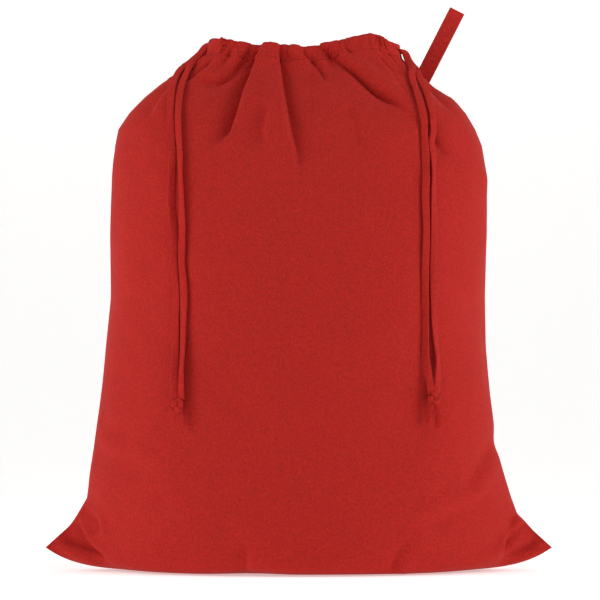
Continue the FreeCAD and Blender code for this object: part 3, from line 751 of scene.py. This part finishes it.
def hem_end_grid(side, facing):
    """The soft end of the hem between the casing and the cord opening."""
    upper, lower = (side_pieces["left" if side < 0 else "right"][row] for row in (-1, -3))
    rim, under = (row[:SIDE_COLUMNS] if facing < 0 else row[SIDE_COLUMNS - 1:][::-1]
                  for row in (upper, lower))
    keep = np.abs(rim[:, 1]) > OPENING_HALF
    rim, under = rim[keep], under[keep]
    forward = side * facing > 0
    if forward:
        rim, under = rim[::-1], under[::-1]
    grid = hem_grid(rim, under, 81 + side)[0]
    main = hem_out["front" if facing < 0 else "back"][0]
    joined = main[:, 0 if (side < 0) == (facing < 0) else -1]
    at = -1 if forward else 0
    t = np.linspace(0, 1, len(rim))
    weight = smooth(t if forward else 1 - t)
    grid += (joined - grid[:, at])[:, None] * weight[None, :, None]
    return grid


hem_ends = {}
for side, name in ((-1, "left"), (1, "right")):
    grids = [hem_end_grid(side, facing) for facing in (-1, 1)]
    hem_ends[name] = grids
    points = np.concatenate([g.reshape(-1, 3) for g in grids])
    first, second = (g.shape[:2] for g in grids)
    faces = np.concatenate([grid_faces(*first), grid_faces(*second, start=first[0] * first[1])])
    ends = new_mesh(name + "_hem_end_cloth", points * MM, faces)
    add_uv(ends, np.concatenate([flat_map(g) for g in grids]))
    thicken(ends)
    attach(ends, "sack")
    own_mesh(ends)
    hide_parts(name + "_hem_end")
    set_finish(ends, "sack_cloth")
    report(ends)

# %% [markdown]
# Stitches are short rods with rounded ends, 3 mm long in 5 mm steps, all of a row in one mesh. The hem's
# row runs along the rim. Each opening ends in a bartack, a dense bar of thread across the seam.

# %% Rows of stitches and the bartacks
def stitch_row(name, line, outward, length=3.0, pitch=5.0, thread=0.8):
    """A row of stitches along a line in mm: rings of radius thread / 2 * sqrt(1 - s ** 4) for s from -1
    to 1 along each stitch, its middle lifted by 0.1 of the thread from the cloth."""
    run = run_length(line)
    at = np.arange(pitch / 2, max(run[-1] - length / 2, pitch / 2 + 0.01), pitch)
    centre, out = read_along(line, run, at), read_along(outward, run, at)
    tangent = unit(read_along(np.gradient(line, axis=0), run, at))
    out = squared(out, tangent)
    side = np.cross(tangent, out)
    s = np.array([-1, -0.9, -0.5, 0, 0.5, 0.9, 1])
    radius = thread / 2 * np.sqrt(np.maximum(1 - s ** 4, 0.01))
    turn = np.linspace(0, 2 * np.pi, 8, endpoint=False)
    rings = (centre[:, None, None] + tangent[:, None, None] * (s * length / 2)[None, :, None, None]
             + out[:, None, None] * (0.1 * thread + radius[:, None] * np.sin(turn))[None, :, :, None]
             + side[:, None, None] * (radius[:, None] * np.cos(turn))[None, :, :, None])
    one = tube_faces(len(s), len(turn))
    points_each = len(s) * len(turn)
    faces = [[corner + points_each * k for corner in face] for k in range(len(at)) for face in one]
    thing = new_mesh(name, rings * MM, faces)
    add_uv(thing, rings.reshape(-1, 3)[:, :2] * MM)
    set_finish(thing, "sewing_thread")
    return thing


for word, facing in (("front", -1), ("back", 1)):
    grid, out = hem_out[word]
    row = stitch_row(word + "_hem_stitches", grid[2, 3:-3], out[3:-3], thread=0.6)
    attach(row, word + "_mouth")
    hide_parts(word + "_casing_stitching")
for side, name in ((-1, "left"), (1, "right")):
    rim = side_pieces[name][-1, SIDE_COLUMNS - 1]
    line = rim + np.array([(0, y, 0.4) for y in np.linspace(-7, 7, 9)])
    bar = stitch_row(name + "_opening_bar", line, np.array([(side, 0, 0.6)] * 9, float),
                     length=13.5, pitch=14, thread=2.2)
    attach(bar, "sack")
    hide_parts(name + "_opening_bartack")


# %% [markdown]
# ## Ties
# Each tie is a strip of the sack's own cloth, folded lengthwise and sewn: about 9 mm wide and 3 mm thick.
# Its route is a smooth curve through listed points, and the strip is drawn over points read from that
# curve. It turns slowly about its line as cloth tape does. One tie leaves on the left and one on the right,
# both strands through the same opening, and each pair ends in a knot.

# %% Routes of the ties, in millimetres
UPPER = {
    "left_front": [(-102.2, -13, 636), (-106.2, -5, 636), (-114.8, -4, 634), (-122.2, -11.5, 626.5),
                   (-129.8, -25, 613), (-137.2, -41.5, 594.5), (-141.8, -60.3, 573.2), (-144, -78.2, 551.6),
                   (-142.8, -91.8, 528), (-141, -100.8, 505)],
    "left_back": [(-102.2, 13, 636), (-106.2, 5, 636), (-115.2, 4.2, 634.8), (-125.4, -1.2, 628),
                  (-136.8, -13.8, 615.2), (-146.2, -31.5, 597.2), (-151.8, -51, 577), (-153, -71.4, 554.5),
                  (-152, -86.8, 530), (-149.8, -96.4, 505)],
    "right_front": [(120.2, -13, 628.2), (124.2, -5, 628.2), (132.8, -4.4, 625.6), (138.6, -12.5, 619.8),
                    (139.8, -26.5, 612.4), (139.8, -41.8, 602.8), (141.6, -56.4, 587.2),
                    (144.8, -70.4, 568.2), (149.5, -81.8, 548.2), (152.2, -90.2, 527), (153, -97.6, 505)],
    "right_back": [(120.2, 13, 628.2), (124.2, 5.2, 628.2), (133.4, 4.6, 626.8), (143.2, -3, 620.2),
                   (150.4, -19, 610.8), (152.8, -40.5, 596.2), (156.6, -59.8, 574.6), (160.9, -74.2, 552.5),
                   (162.8, -85.2, 529.4), (161.8, -92.4, 505)],
}
LOWER = {
    "left_front": [(-141, -100.8, 505), (-139.8, -110.6, 470), (-138.8, -116.8, 437), (-140.6, -120, 403),
                   (-141.8, -122.8, 369), (-137.9, -125.8, 335), (-139.2, -127.2, 300), (-139, -128.4, 265),
                   (-139.6, -129.3, 236), (-139.2, -129.9, 210)],
    "left_back": [(-149.8, -96.4, 505), (-149.8, -105.8, 470), (-151.9, -110.3, 437), (-149.5, -115.4, 403),
                  (-150.7, -117.6, 369), (-147.2, -121.3, 335), (-148.7, -122, 300), (-147.8, -123.8, 265),
                  (-148, -125.2, 236), (-147, -127.6, 210)],
    "right_front": [(153, -97.6, 505), (151.5, -105.8, 470), (152.1, -110.8, 435), (152.4, -114.2, 400),
                    (151.1, -117.2, 365), (150.8, -119.6, 330), (152, -120.4, 295), (151.3, -122, 262),
                    (154, -122.2, 238), (157.2, -122, 216.5)],
    "right_back": [(161.8, -92.4, 505), (161, -100.6, 470), (161.6, -105.2, 435), (161.3, -108.8, 400),
                   (161, -111.7, 365), (161.6, -113.3, 330), (163.7, -113.2, 295), (166.6, -112.7, 262),
                   (165.6, -115.6, 238), (162.8, -119, 216.5)],
}
TAILS = {
    "left_a": [(-146, -131, 203), (-150, -132, 201.5), (-156.5, -132.5, 198.5), (-163, -131.5, 194)],
    "left_b": [(-142.5, -131, 201), (-141.5, -132, 196.5), (-139.8, -133, 187), (-139, -132, 177)],
    "right_a": [(158.2, -121.8, 211), (156.5, -122, 206), (154.2, -123, 193), (153.6, -122, 182)],
    "right_b": [(162, -121.4, 211), (163.4, -121, 206), (166, -121.8, 191), (165.2, -120.5, 176)],
}
KNOTS = {"left": (-143.2, -130.5, 203.0), "right": (160.0, -121.5, 211.5)}
TIE_WIDTH = 9.0
TIE_THICK = 3.0


def curve_points(route, count):
    """Evenly spaced points in metres along a smooth curve through the neighbourhood of the route's points."""
    data = bpy.data.curves.new("route", "CURVE")
    data.dimensions = "3D"
    spline = data.splines.new("NURBS")
    spline.points.add(len(route) - 1)
    spline.points.foreach_set("co", np.column_stack([np.array(route) * MM, np.ones(len(route))]).ravel())
    spline.order_u = 3
    spline.use_endpoint_u = True
    spline.resolution_u = 24
    line = bpy.data.objects.new("route", data)
    mesh = bpy.data.meshes.new_from_object(line)
    points = np.array([v.co for v in mesh.vertices])
    bpy.data.objects.remove(line)
    bpy.data.curves.remove(data)
    bpy.data.meshes.remove(mesh)
    length = run_length(points)
    return read_along(points, length, np.linspace(0, length[-1], count))


# %% [markdown]
# A strip's section is a flat oval with a shallow groove along one edge, where its fold was sewn shut.

# %% Drawing a strip of folded cloth along a line
def tie_section(count=28):
    """Closed section in units of half width and half thickness: x = cos t, y = sin t ** 0.7, with a
    groove."""
    t = np.linspace(0, 2 * np.pi, count, endpoint=False)
    x = np.sign(np.cos(t)) * np.abs(np.cos(t)) ** 0.85
    y = np.sign(np.sin(t)) * np.abs(np.sin(t)) ** 0.55
    y = y * (1 - 0.28 * np.exp(-((x - 0.62) / 0.11) ** 2) - 0.08 * np.exp(-(x / 0.35) ** 2))
    return x, y


def strip(name, line, facing, twist, width=TIE_WIDTH, thick=TIE_THICK, seed=0):
    """A closed tube of the tie's section along a line of points in metres. facing is the way the flat
    side looks in each ring, before twist turns it about the line. Its edges waver a little."""
    tangent = unit(np.gradient(line, axis=0))
    look = squared(np.broadcast_to(np.asarray(facing, float), line.shape), tangent)
    side = np.cross(tangent, look)
    turn = np.asarray(twist, float)[:, None]
    look, side = look * np.cos(turn) + side * np.sin(turn), side * np.cos(turn) - look * np.sin(turn)
    x, y = tie_section()
    run = np.linspace(0, len(line), len(line))
    waver = 1 + 0.07 * wander(run, 0 * run + 7, 9, seed)
    fat = 1 + 0.22 * wander(run, 0 * run + 3, 6, seed + 1)
    rings = (line[:, None] + side[:, None] * (x[:, None] * width / 2 * MM) * waver[:, None, None]
             + look[:, None] * (y[:, None] * thick / 2 * MM) * fat[:, None, None])
    thing = new_mesh(name, rings, tube_faces(len(line), len(x)), flat=2)
    ring_uv(thing, run_length(np.stack([x * width, y * thick], -1) / 2) * MM, run_length(line))
    return thing


# %% [markdown]
# The listed routes are eased onto the cloth: each point moves along the line to the nearest cloth
# until it lies a tie's half thickness and a little air off it, and the row of moves is smoothed so that the
# strip bridges the folds as real tape does.

# %% Laying a line on the cloth
def cloth_tree():
    """The front's cloth, the side cloths and the hems, to look up the nearest point on."""
    points, faces = [], []
    ends = [(grid, False) for pair in hem_ends.values() for grid in pair]
    for grid, flip in ((front_points, False), (side_pieces["left"], True), (side_pieces["right"], False),
                       (hem_out["front"][0], False), *ends):
        faces.append(grid_faces(*grid.shape[:2], flip=flip, start=sum(len(p) for p in points)))
        points.append(grid.reshape(-1, 3) * MM)
    return BVHTree.FromPolygons(np.concatenate(points).tolist(), np.concatenate(faces).tolist())


CLOTH_TREE = cloth_tree()
TIE_AIR = 3.6 * MM          # from the tie's middle line to the cloth


def lay_on_cloth(line, share):
    """The line moved towards the cloth to TIE_AIR from it, by the share of the move given at each point."""
    moves = np.zeros_like(line)
    for i, point in enumerate(line):
        spot, normal, _, distance = CLOTH_TREE.find_nearest(point)
        inside = np.dot(np.asarray(point) - np.asarray(spot), normal) < 0
        moves[i] = np.asarray(normal) * (TIE_AIR + (distance if inside else -distance))
    kernel = np.hanning(23)[1:-1]
    return line + averaged(moves * share[:, None], kernel / kernel.sum())


# %% Both ties: shoulders and hanging strands
ties = {}
for strand in UPPER:
    side, place = strand.split("_")
    handed = 1 if side == "left" else -1
    lean_over = 0.55 if place == "front" else -0.5
    for part, route, count in (("shoulder", UPPER[strand], 150), ("hanging", LOWER[strand], 230)):
        t = np.linspace(0, 1, count)
        share = smooth(t, 0.03, 0.16) if part == "shoulder" else 1 - smooth(t, 0.72, 1.0)
        line = lay_on_cloth(curve_points(route, count), share)
        if part == "shoulder":
            facing = np.stack([np.where(t < 0.3, -0.1, -0.35) * handed, -0.55 - 0.45 * t, 0.9 * (1 - t)], -1)
            twist = 0.7 * lean_over * smooth(t, 0.5, 1.0)
        else:
            facing = (-0.35 * handed, -1.0, 0.0)
            phase = (1.3 if place == "front" else 3.4) + (0 if side == "left" else 1.1)
            twist = 0.7 * lean_over + 0.38 * np.sin(t * 7.0 + phase) * smooth(t, 0, 0.1)
            twist = twist * (1 - 0.6 * smooth(t, 0.85, 1))
        name = "%s_tie_%s_%s" % (side, place, part)
        tie = strip(name, line, facing, twist, seed=100 + len(ties))
        ties[name] = tie
        if part == "shoulder":
            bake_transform(tie)
        else:
            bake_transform(tie)
        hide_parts("%s_drawcord_%s_%s" % (side, place, part))
        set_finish(tie, "tie_cloth")


# %% [markdown]
# ## Knots and tails
# Each pair of strands is tied in one overhand knot. The knot's line is a trefoil: two turns round and three
# over and under, x = sin t + 2 sin 2t, y = -sin 3t (front to back), z = cos t - 2 cos 2t, scaled to the
# bead.

# %% Knots
def knot_line(centre, size, turn, count=220):
    """The knot's line in metres round its centre, turned by an angle about the way from front to back."""
    t = np.linspace(0, 2 * np.pi, count, endpoint=False)
    x = (np.sin(t) + 2 * np.sin(2 * t)) / 3
    z = (np.cos(t) - 2 * np.cos(2 * t)) / 3
    y = -np.sin(3 * t)
    c, s = math.cos(turn), math.sin(turn)
    return (np.stack([c * x - s * z, y, s * x + c * z], -1) * np.array(size) / 2 + centre) * MM


def ring_tube(name, line, width, thick, seed):
    """A closed ring of soft flattened tube along a closed line, its broad side turned outwards from its
    middle."""
    tangent = unit(np.roll(line, -1, 0) - np.roll(line, 1, 0))
    look = line - line.mean(0)
    look = unit(look - (look * tangent).sum(1, keepdims=True) * tangent + 1e-5 * np.array([0, -1, 0]))
    side = np.cross(tangent, look)
    x, y = tie_section(24)
    run = np.arange(len(line)) / len(line) * 2 * np.pi
    fat = 1 + 0.10 * np.sin(5 * run + seed) + 0.06 * np.sin(11 * run + 2 * seed)
    rings = (line[:, None] + side[:, None] * (x[:, None] * width / 2 * MM) * fat[:, None, None]
             + look[:, None] * (y[:, None] * thick / 2 * MM))
    faces = grid_faces(len(line) + 1, len(x), closed=True) % (len(line) * len(x))
    thing = new_mesh(name, rings, faces)
    ring_uv(thing, np.linspace(0, 2 * width * MM, len(x)), np.linspace(0, 0.1, len(line)))
    return thing


for side, centre in KNOTS.items():
    turns = knot_line(np.array(centre), (10.5, 6.6, 12.5), 0.5 if side == "left" else -0.9)
    bead = ring_tube(side + "_knot_turns", turns, width=6.6, thick=5.2, seed=1.0 if side == "left" else 2.2)
    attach(bead, side + "_cord_ends")
    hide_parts(side + "_knot")
    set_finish(bead, "tie_cloth")
    for letter in "ab":
        line = curve_points(TAILS[side + "_" + letter], 60)
        twist = 0.5 * np.linspace(0, 1, 60) + (0.3 if letter == "a" else -0.4)
        tail = strip("%s_knot_tail_%s" % (side, letter), line, (-0.2, -1, 0.15), twist,
                     width=7.6, thick=2.2, seed=140 + ord(letter))
        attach(tail, side + "_cord_ends")
        if letter == "a":
            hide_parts(side + "_knot_tails")
        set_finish(tail, "tie_cloth")


# %% [markdown]
# Inside the hem each tie runs along both casings and turns back inside the opening on the far side. It lies
# there on edge, one tie above the other.

# %% Ties inside the hem
HEM_TALL = 19.0             # height of the hem above its rim, mm
RUN_AIR = 3.0               # room left by a tie's middle line in front of the closed mouth's middle, mm


def hem_middle(word, share):
    """A line in metres along the middle of a hem, this share of the way up it, between its two faces."""
    grid = hem_out[word][0]
    height = along(HEM_SECTION, HEM_T)[:, 1]
    top = int(np.argmax(height))
    outer = int(np.argmin(np.abs(height[:top] - HEM_TALL * share)))
    inner = top + int(np.argmin(np.abs(height[top:] - HEM_TALL * share)))
    line = (grid[outer] + grid[inner]) / 2
    line[:, 1] = np.sign(line[:, 1]) * np.maximum(np.abs(line[:, 1]), SLIDE + RUN_AIR)
    return averaged(line, np.ones(9) / 9) * MM


def mouth_line(first, last, facing, z, count=50):
    """The tie's line round the mouth in metres, on the middle of the casing."""
    angle = np.linspace(first, last, count)
    x = 9 + 112 * np.sin(angle)
    y = facing * 38 * np.maximum(np.cos(angle), 0) ** 0.5
    return np.stack([x, y, z + 0.55 * (np.interp(x, *HEM_LINE.T) - 641.5)], -1) * MM


def outward(line):
    """The level direction square to a line at each of its points."""
    run = np.gradient(line, axis=0)
    return np.stack([run[:, 1], -run[:, 0], 0 * run[:, 0]], -1)


STOP = math.acos((31.0 / 38) ** 2)
for tie_name, z, far in (("left", 634.6, "right"), ("right", 628.4, "left")):
    for word, facing in (("front", -1), ("back", 1)):
        line = hem_middle(word, 0.66 if tie_name == "left" else 0.30)
        run = strip("%s_tie_%s_run" % (tie_name, word), line, outward(line), np.zeros(len(line)),
                    width=5.2, thick=2.6, seed=160)
        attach(run, word + "_mouth")
        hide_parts("%s_drawcord_%s_run" % (tie_name, word))
        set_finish(run, "tie_cloth")
    side = 1 if far == "right" else -1
    half = mouth_line(side * STOP, side * np.pi / 2, -1, z)
    line = np.concatenate([half, half[::-1][1:] * np.array([1, -1, 1])])
    bend = strip("%s_tie_%s_bend" % (tie_name, far), line, outward(line) * side, np.zeros(len(line)),
                 width=5.6, thick=3.0, seed=170)
    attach(bend, "sack")
    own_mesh(bend)
    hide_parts("%s_drawcord_%s_bend" % (tie_name, far))
    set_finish(bend, "tie_cloth")


# %% [markdown]
# ## Hanging loop
# A length of webbing folded over and sewn to the back of the neck. Along the loop, for t from 0 to 2 pi,
# the distance from the fold's foot is 56 (1 - cos t) mm and the spread of the legs is 0.85 cos(t / 2) +
# 10.46 sin t sin^2(t / 2) mm. The fold leans 27 degrees to the right.

# %% The loop's webbing
LEAN = math.radians(27)
ALONG = np.array([math.sin(LEAN), 0, math.cos(LEAN)])
HINGE = np.array([141.967, 60.330, 578.631])
WEB_WIDTH, WEB_THICK = 19.5, 1.6


def loop_middle(t):
    """Distance from the foot and spread of the legs, in mm."""
    u = 56 * (1 - np.cos(t))
    return u, 0.85 * np.cos(t / 2) + 10.46 * np.sin(t) * np.sin(t / 2) ** 2


def webbing(name, line, normal, width, thick, columns=22):
    """A closed band: rings of a rounded rectangle across a line in mm, its edges a little thicker
    (selvedges)."""
    tangent = unit(np.gradient(line, axis=0))
    side = unit(np.cross(normal, tangent))
    c = np.cos(np.linspace(0, np.pi, columns))
    edge = 1 - 0.85 * smooth(np.abs(c), 0.93, 1.0) + 0.12 * np.exp(-((np.abs(c) - 0.86) / 0.05) ** 2)
    x = np.concatenate([c, c[::-1]])
    y = np.concatenate([edge, -edge[::-1]])
    ripple = 0.10 * np.sin(np.arange(len(line)) * 2.4)[:, None, None]
    rings = (line[:, None] + side[:, None] * (x * width / 2)[:, None]
             + normal[:, None] * (y * thick / 2)[:, None] * (1 + ripple))
    thing = new_mesh(name, rings * MM, tube_faces(len(line), len(x)), flat=2)
    ring_uv(thing, x * width / 2 * MM, run_length(line) * MM)
    return thing


t = np.linspace(0.12, 2 * np.pi - 0.12, 220)
u, n = loop_middle(t)
line = HINGE + ALONG * (u + 0.6)[:, None] + np.array([0, 1, 0]) * n[:, None]
line += np.array([0, 1.6, 0]) * (np.sin(u / 112 * np.pi)[:, None])
du, dn = np.gradient(u), np.gradient(n)
normal = unit(-ALONG * dn[:, None] + np.array([0, 1, 0]) * du[:, None])
loop = webbing("hanging_loop_webbing", line, normal, WEB_WIDTH, WEB_THICK)
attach(loop, "loop")
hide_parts("hanging_loop")
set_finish(loop, "loop_webbing")
report(loop)

# %% [markdown]
# Inside each side seam both panels' edges stand inwards as a 12 mm allowance, sewn together by a row of
# stitches.

# %% Side seam allowances
ALLOWANCE = 11.0
for side, name in ((-1, "left"), (1, "right")):
    low = front_points[:FIRST_SIDE_ROW + 1, 0 if side < 0 else -1]
    seam = np.concatenate([low, side_pieces[name][1:, SIDE_COLUMNS - 1]])
    seam = seam[(seam[:, 2] > 88) & (seam[:, 2] < 616)] * np.array([1, 0, 1])
    inwards = np.cross(np.array([0, 1, 0]), unit(np.gradient(seam, axis=0)))
    inwards *= np.sign(inwards[:, :1]) * -side
    middle = seam + inwards * (1.4 + ALLOWANCE / 2)
    backwards = np.array([(0.0, 1.0, 0.0)] * len(seam))
    allowance = webbing(name + "_seam_allowance_cloth", middle, backwards, ALLOWANCE, 2.4)
    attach(allowance, "sack")
    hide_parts(name + "_side_seam_allowance")
    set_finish(allowance, "sack_cloth")
    line = seam + inwards * 8.4 + np.array([0, -1.25, 0])
    row = stitch_row(name + "_seam_stitches", line, -backwards)
    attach(row, "sack")
    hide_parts(name + "_side_seam_stitching")
    report(allowance)

# %% [markdown]
# ## Materials
# The bottom seam's allowance, the sewn end of the loop and the stitches of both are the CAD's own pieces:
# they are real sizes already, and they only need the right material.

# %% Materials
def feed(tree, node, **inputs):
    """Sets a node's inputs by name: each to a value, or to another node's output."""
    for name, value in inputs.items():
        socket = node.inputs[name.replace("_", " ")]
        if isinstance(value, bpy.types.NodeSocket):
            tree.links.new(value, socket)
        else:
            socket.default_value = value
    return node


def cotton(name, colour, other, thread_mm, bump, fuzz=0.12, rough=0.9):
    """Dyed cotton: two close tones in broad clouds, a plain weave from two crossed sets of threads at their
    real spacing, slight slubs, and a soft sheen from loose fibre."""
    material = bpy.data.materials.new(name)
    material.use_nodes = True
    tree = material.node_tree

    def add(kind, output, settings=None, **inputs):
        """A new node's output, its settings and inputs set."""
        node = tree.nodes.new("ShaderNode" + kind)
        for setting, value in (settings or {}).items():
            setattr(node, setting, value)
        return feed(tree, node, **inputs).outputs[output]

    def maths(operation, *terms):
        """A maths node's output from its terms, each a number or another node's output."""
        node = tree.nodes.new("ShaderNodeMath")
        node.operation = operation
        for place, term in enumerate(terms):
            if isinstance(term, float):
                node.inputs[place].default_value = term
            else:
                tree.links.new(term, node.inputs[place])
        return node.outputs[0]

    place = tree.nodes.new("ShaderNodeTexCoord").outputs
    stretched = add("Mapping", "Vector", Vector=place["UV"], Scale=(900.0, 160.0, 1.0))
    clouds = add("TexNoise", "Fac", Vector=place["Object"], Scale=14.0, Detail=4.0, Roughness=0.55)
    slubs = add("TexNoise", "Fac", Vector=stretched, Scale=1.0, Detail=3.0, Roughness=0.6)
    flecks = add("TexNoise", "Fac", Vector=place["Object"], Scale=420.0, Detail=2.0, Roughness=0.7)
    creases = add("TexNoise", "Fac", Vector=place["Object"], Scale=38.0, Detail=5.0, Roughness=0.62,
                  Distortion=0.6)
    tone = maths("MULTIPLY_ADD", clouds, 0.55, maths("MULTIPLY", slubs, 0.45))
    mixed = add("Mix", "Result", {"data_type": "RGBA"}, A=linear(colour), B=linear(other), Factor=tone)
    lift = add("MapRange", "Result", Value=flecks, From_Min=0.3, From_Max=0.7, To_Min=0.76, To_Max=1.18)
    shade = add("HueSaturation", "Color", Value=lift, Color=mixed)
    threads = [add("TexWave", "Fac", {"bands_direction": direction}, Vector=place["UV"], Distortion=0.6,
                   Scale=1000.0 / thread_mm / 20.0, Detail=1.0, Detail_Scale=2.0) for direction in "XY"]
    weave = maths("MULTIPLY_ADD", slubs, 2.2, maths("ADD", *threads))
    fine = add("Bump", "Normal", Strength=bump, Distance=0.0001, Height=weave)
    soft = add("Bump", "Normal", Strength=0.5, Distance=0.0024, Height=creases, Normal=fine)
    feed(tree, tree.nodes["Principled BSDF"], Base_Color=shade, Roughness=rough, Specular_IOR_Level=0.2,
         Sheen_Weight=fuzz, Sheen_Roughness=0.45, Sheen_Tint=linear("#ff9a90"), Normal=soft)
    return material


SACK = cotton("dyed_cotton_sheeting", "#b4221b", "#a41d16", 0.5, 0.5, fuzz=0.07)
TIE = cotton("dyed_cotton_tie", "#b5221b", "#a71d16", 0.5, 0.6, fuzz=0.07)
WEBBING = cotton("dyed_cotton_webbing", "#b8271f", "#a9201a", 1.1, 0.9)
THREAD = cotton("dyed_polyester_thread", "#9c1f1b", "#8e1a17", 0.3, 0.3, fuzz=0.15, rough=0.6)
FLOOR = bpy.data.materials.new("matte_paper_backdrop")
FLOOR.use_nodes = True
feed(FLOOR.node_tree, FLOOR.node_tree.nodes["Principled BSDF"], Base_Color=linear("#fbfaf9"), Roughness=0.9,
     Specular_IOR_Level=0.1, Emission_Color=linear("#ffffff"), Emission_Strength=0.43)
SLOT_MATERIAL = {"sack_cloth": SACK, "tie_cloth": TIE, "loop_webbing": WEBBING, "sewing_thread": THREAD}
floor.data.materials.append(FLOOR)
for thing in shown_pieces():
    node = thing.get("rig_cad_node")
    kind = thing.get("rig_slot")
    if node:
        kind = ("sewing_thread" if "stitching" in node or "bartack" in node else
                "loop_webbing" if "loop" in node else "sack_cloth")
        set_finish(thing, kind)
    thing.data.materials.clear()
    thing.data.materials.append(SLOT_MATERIAL[kind])

# %% Last update of the scene
bpy.context.view_layer.update()
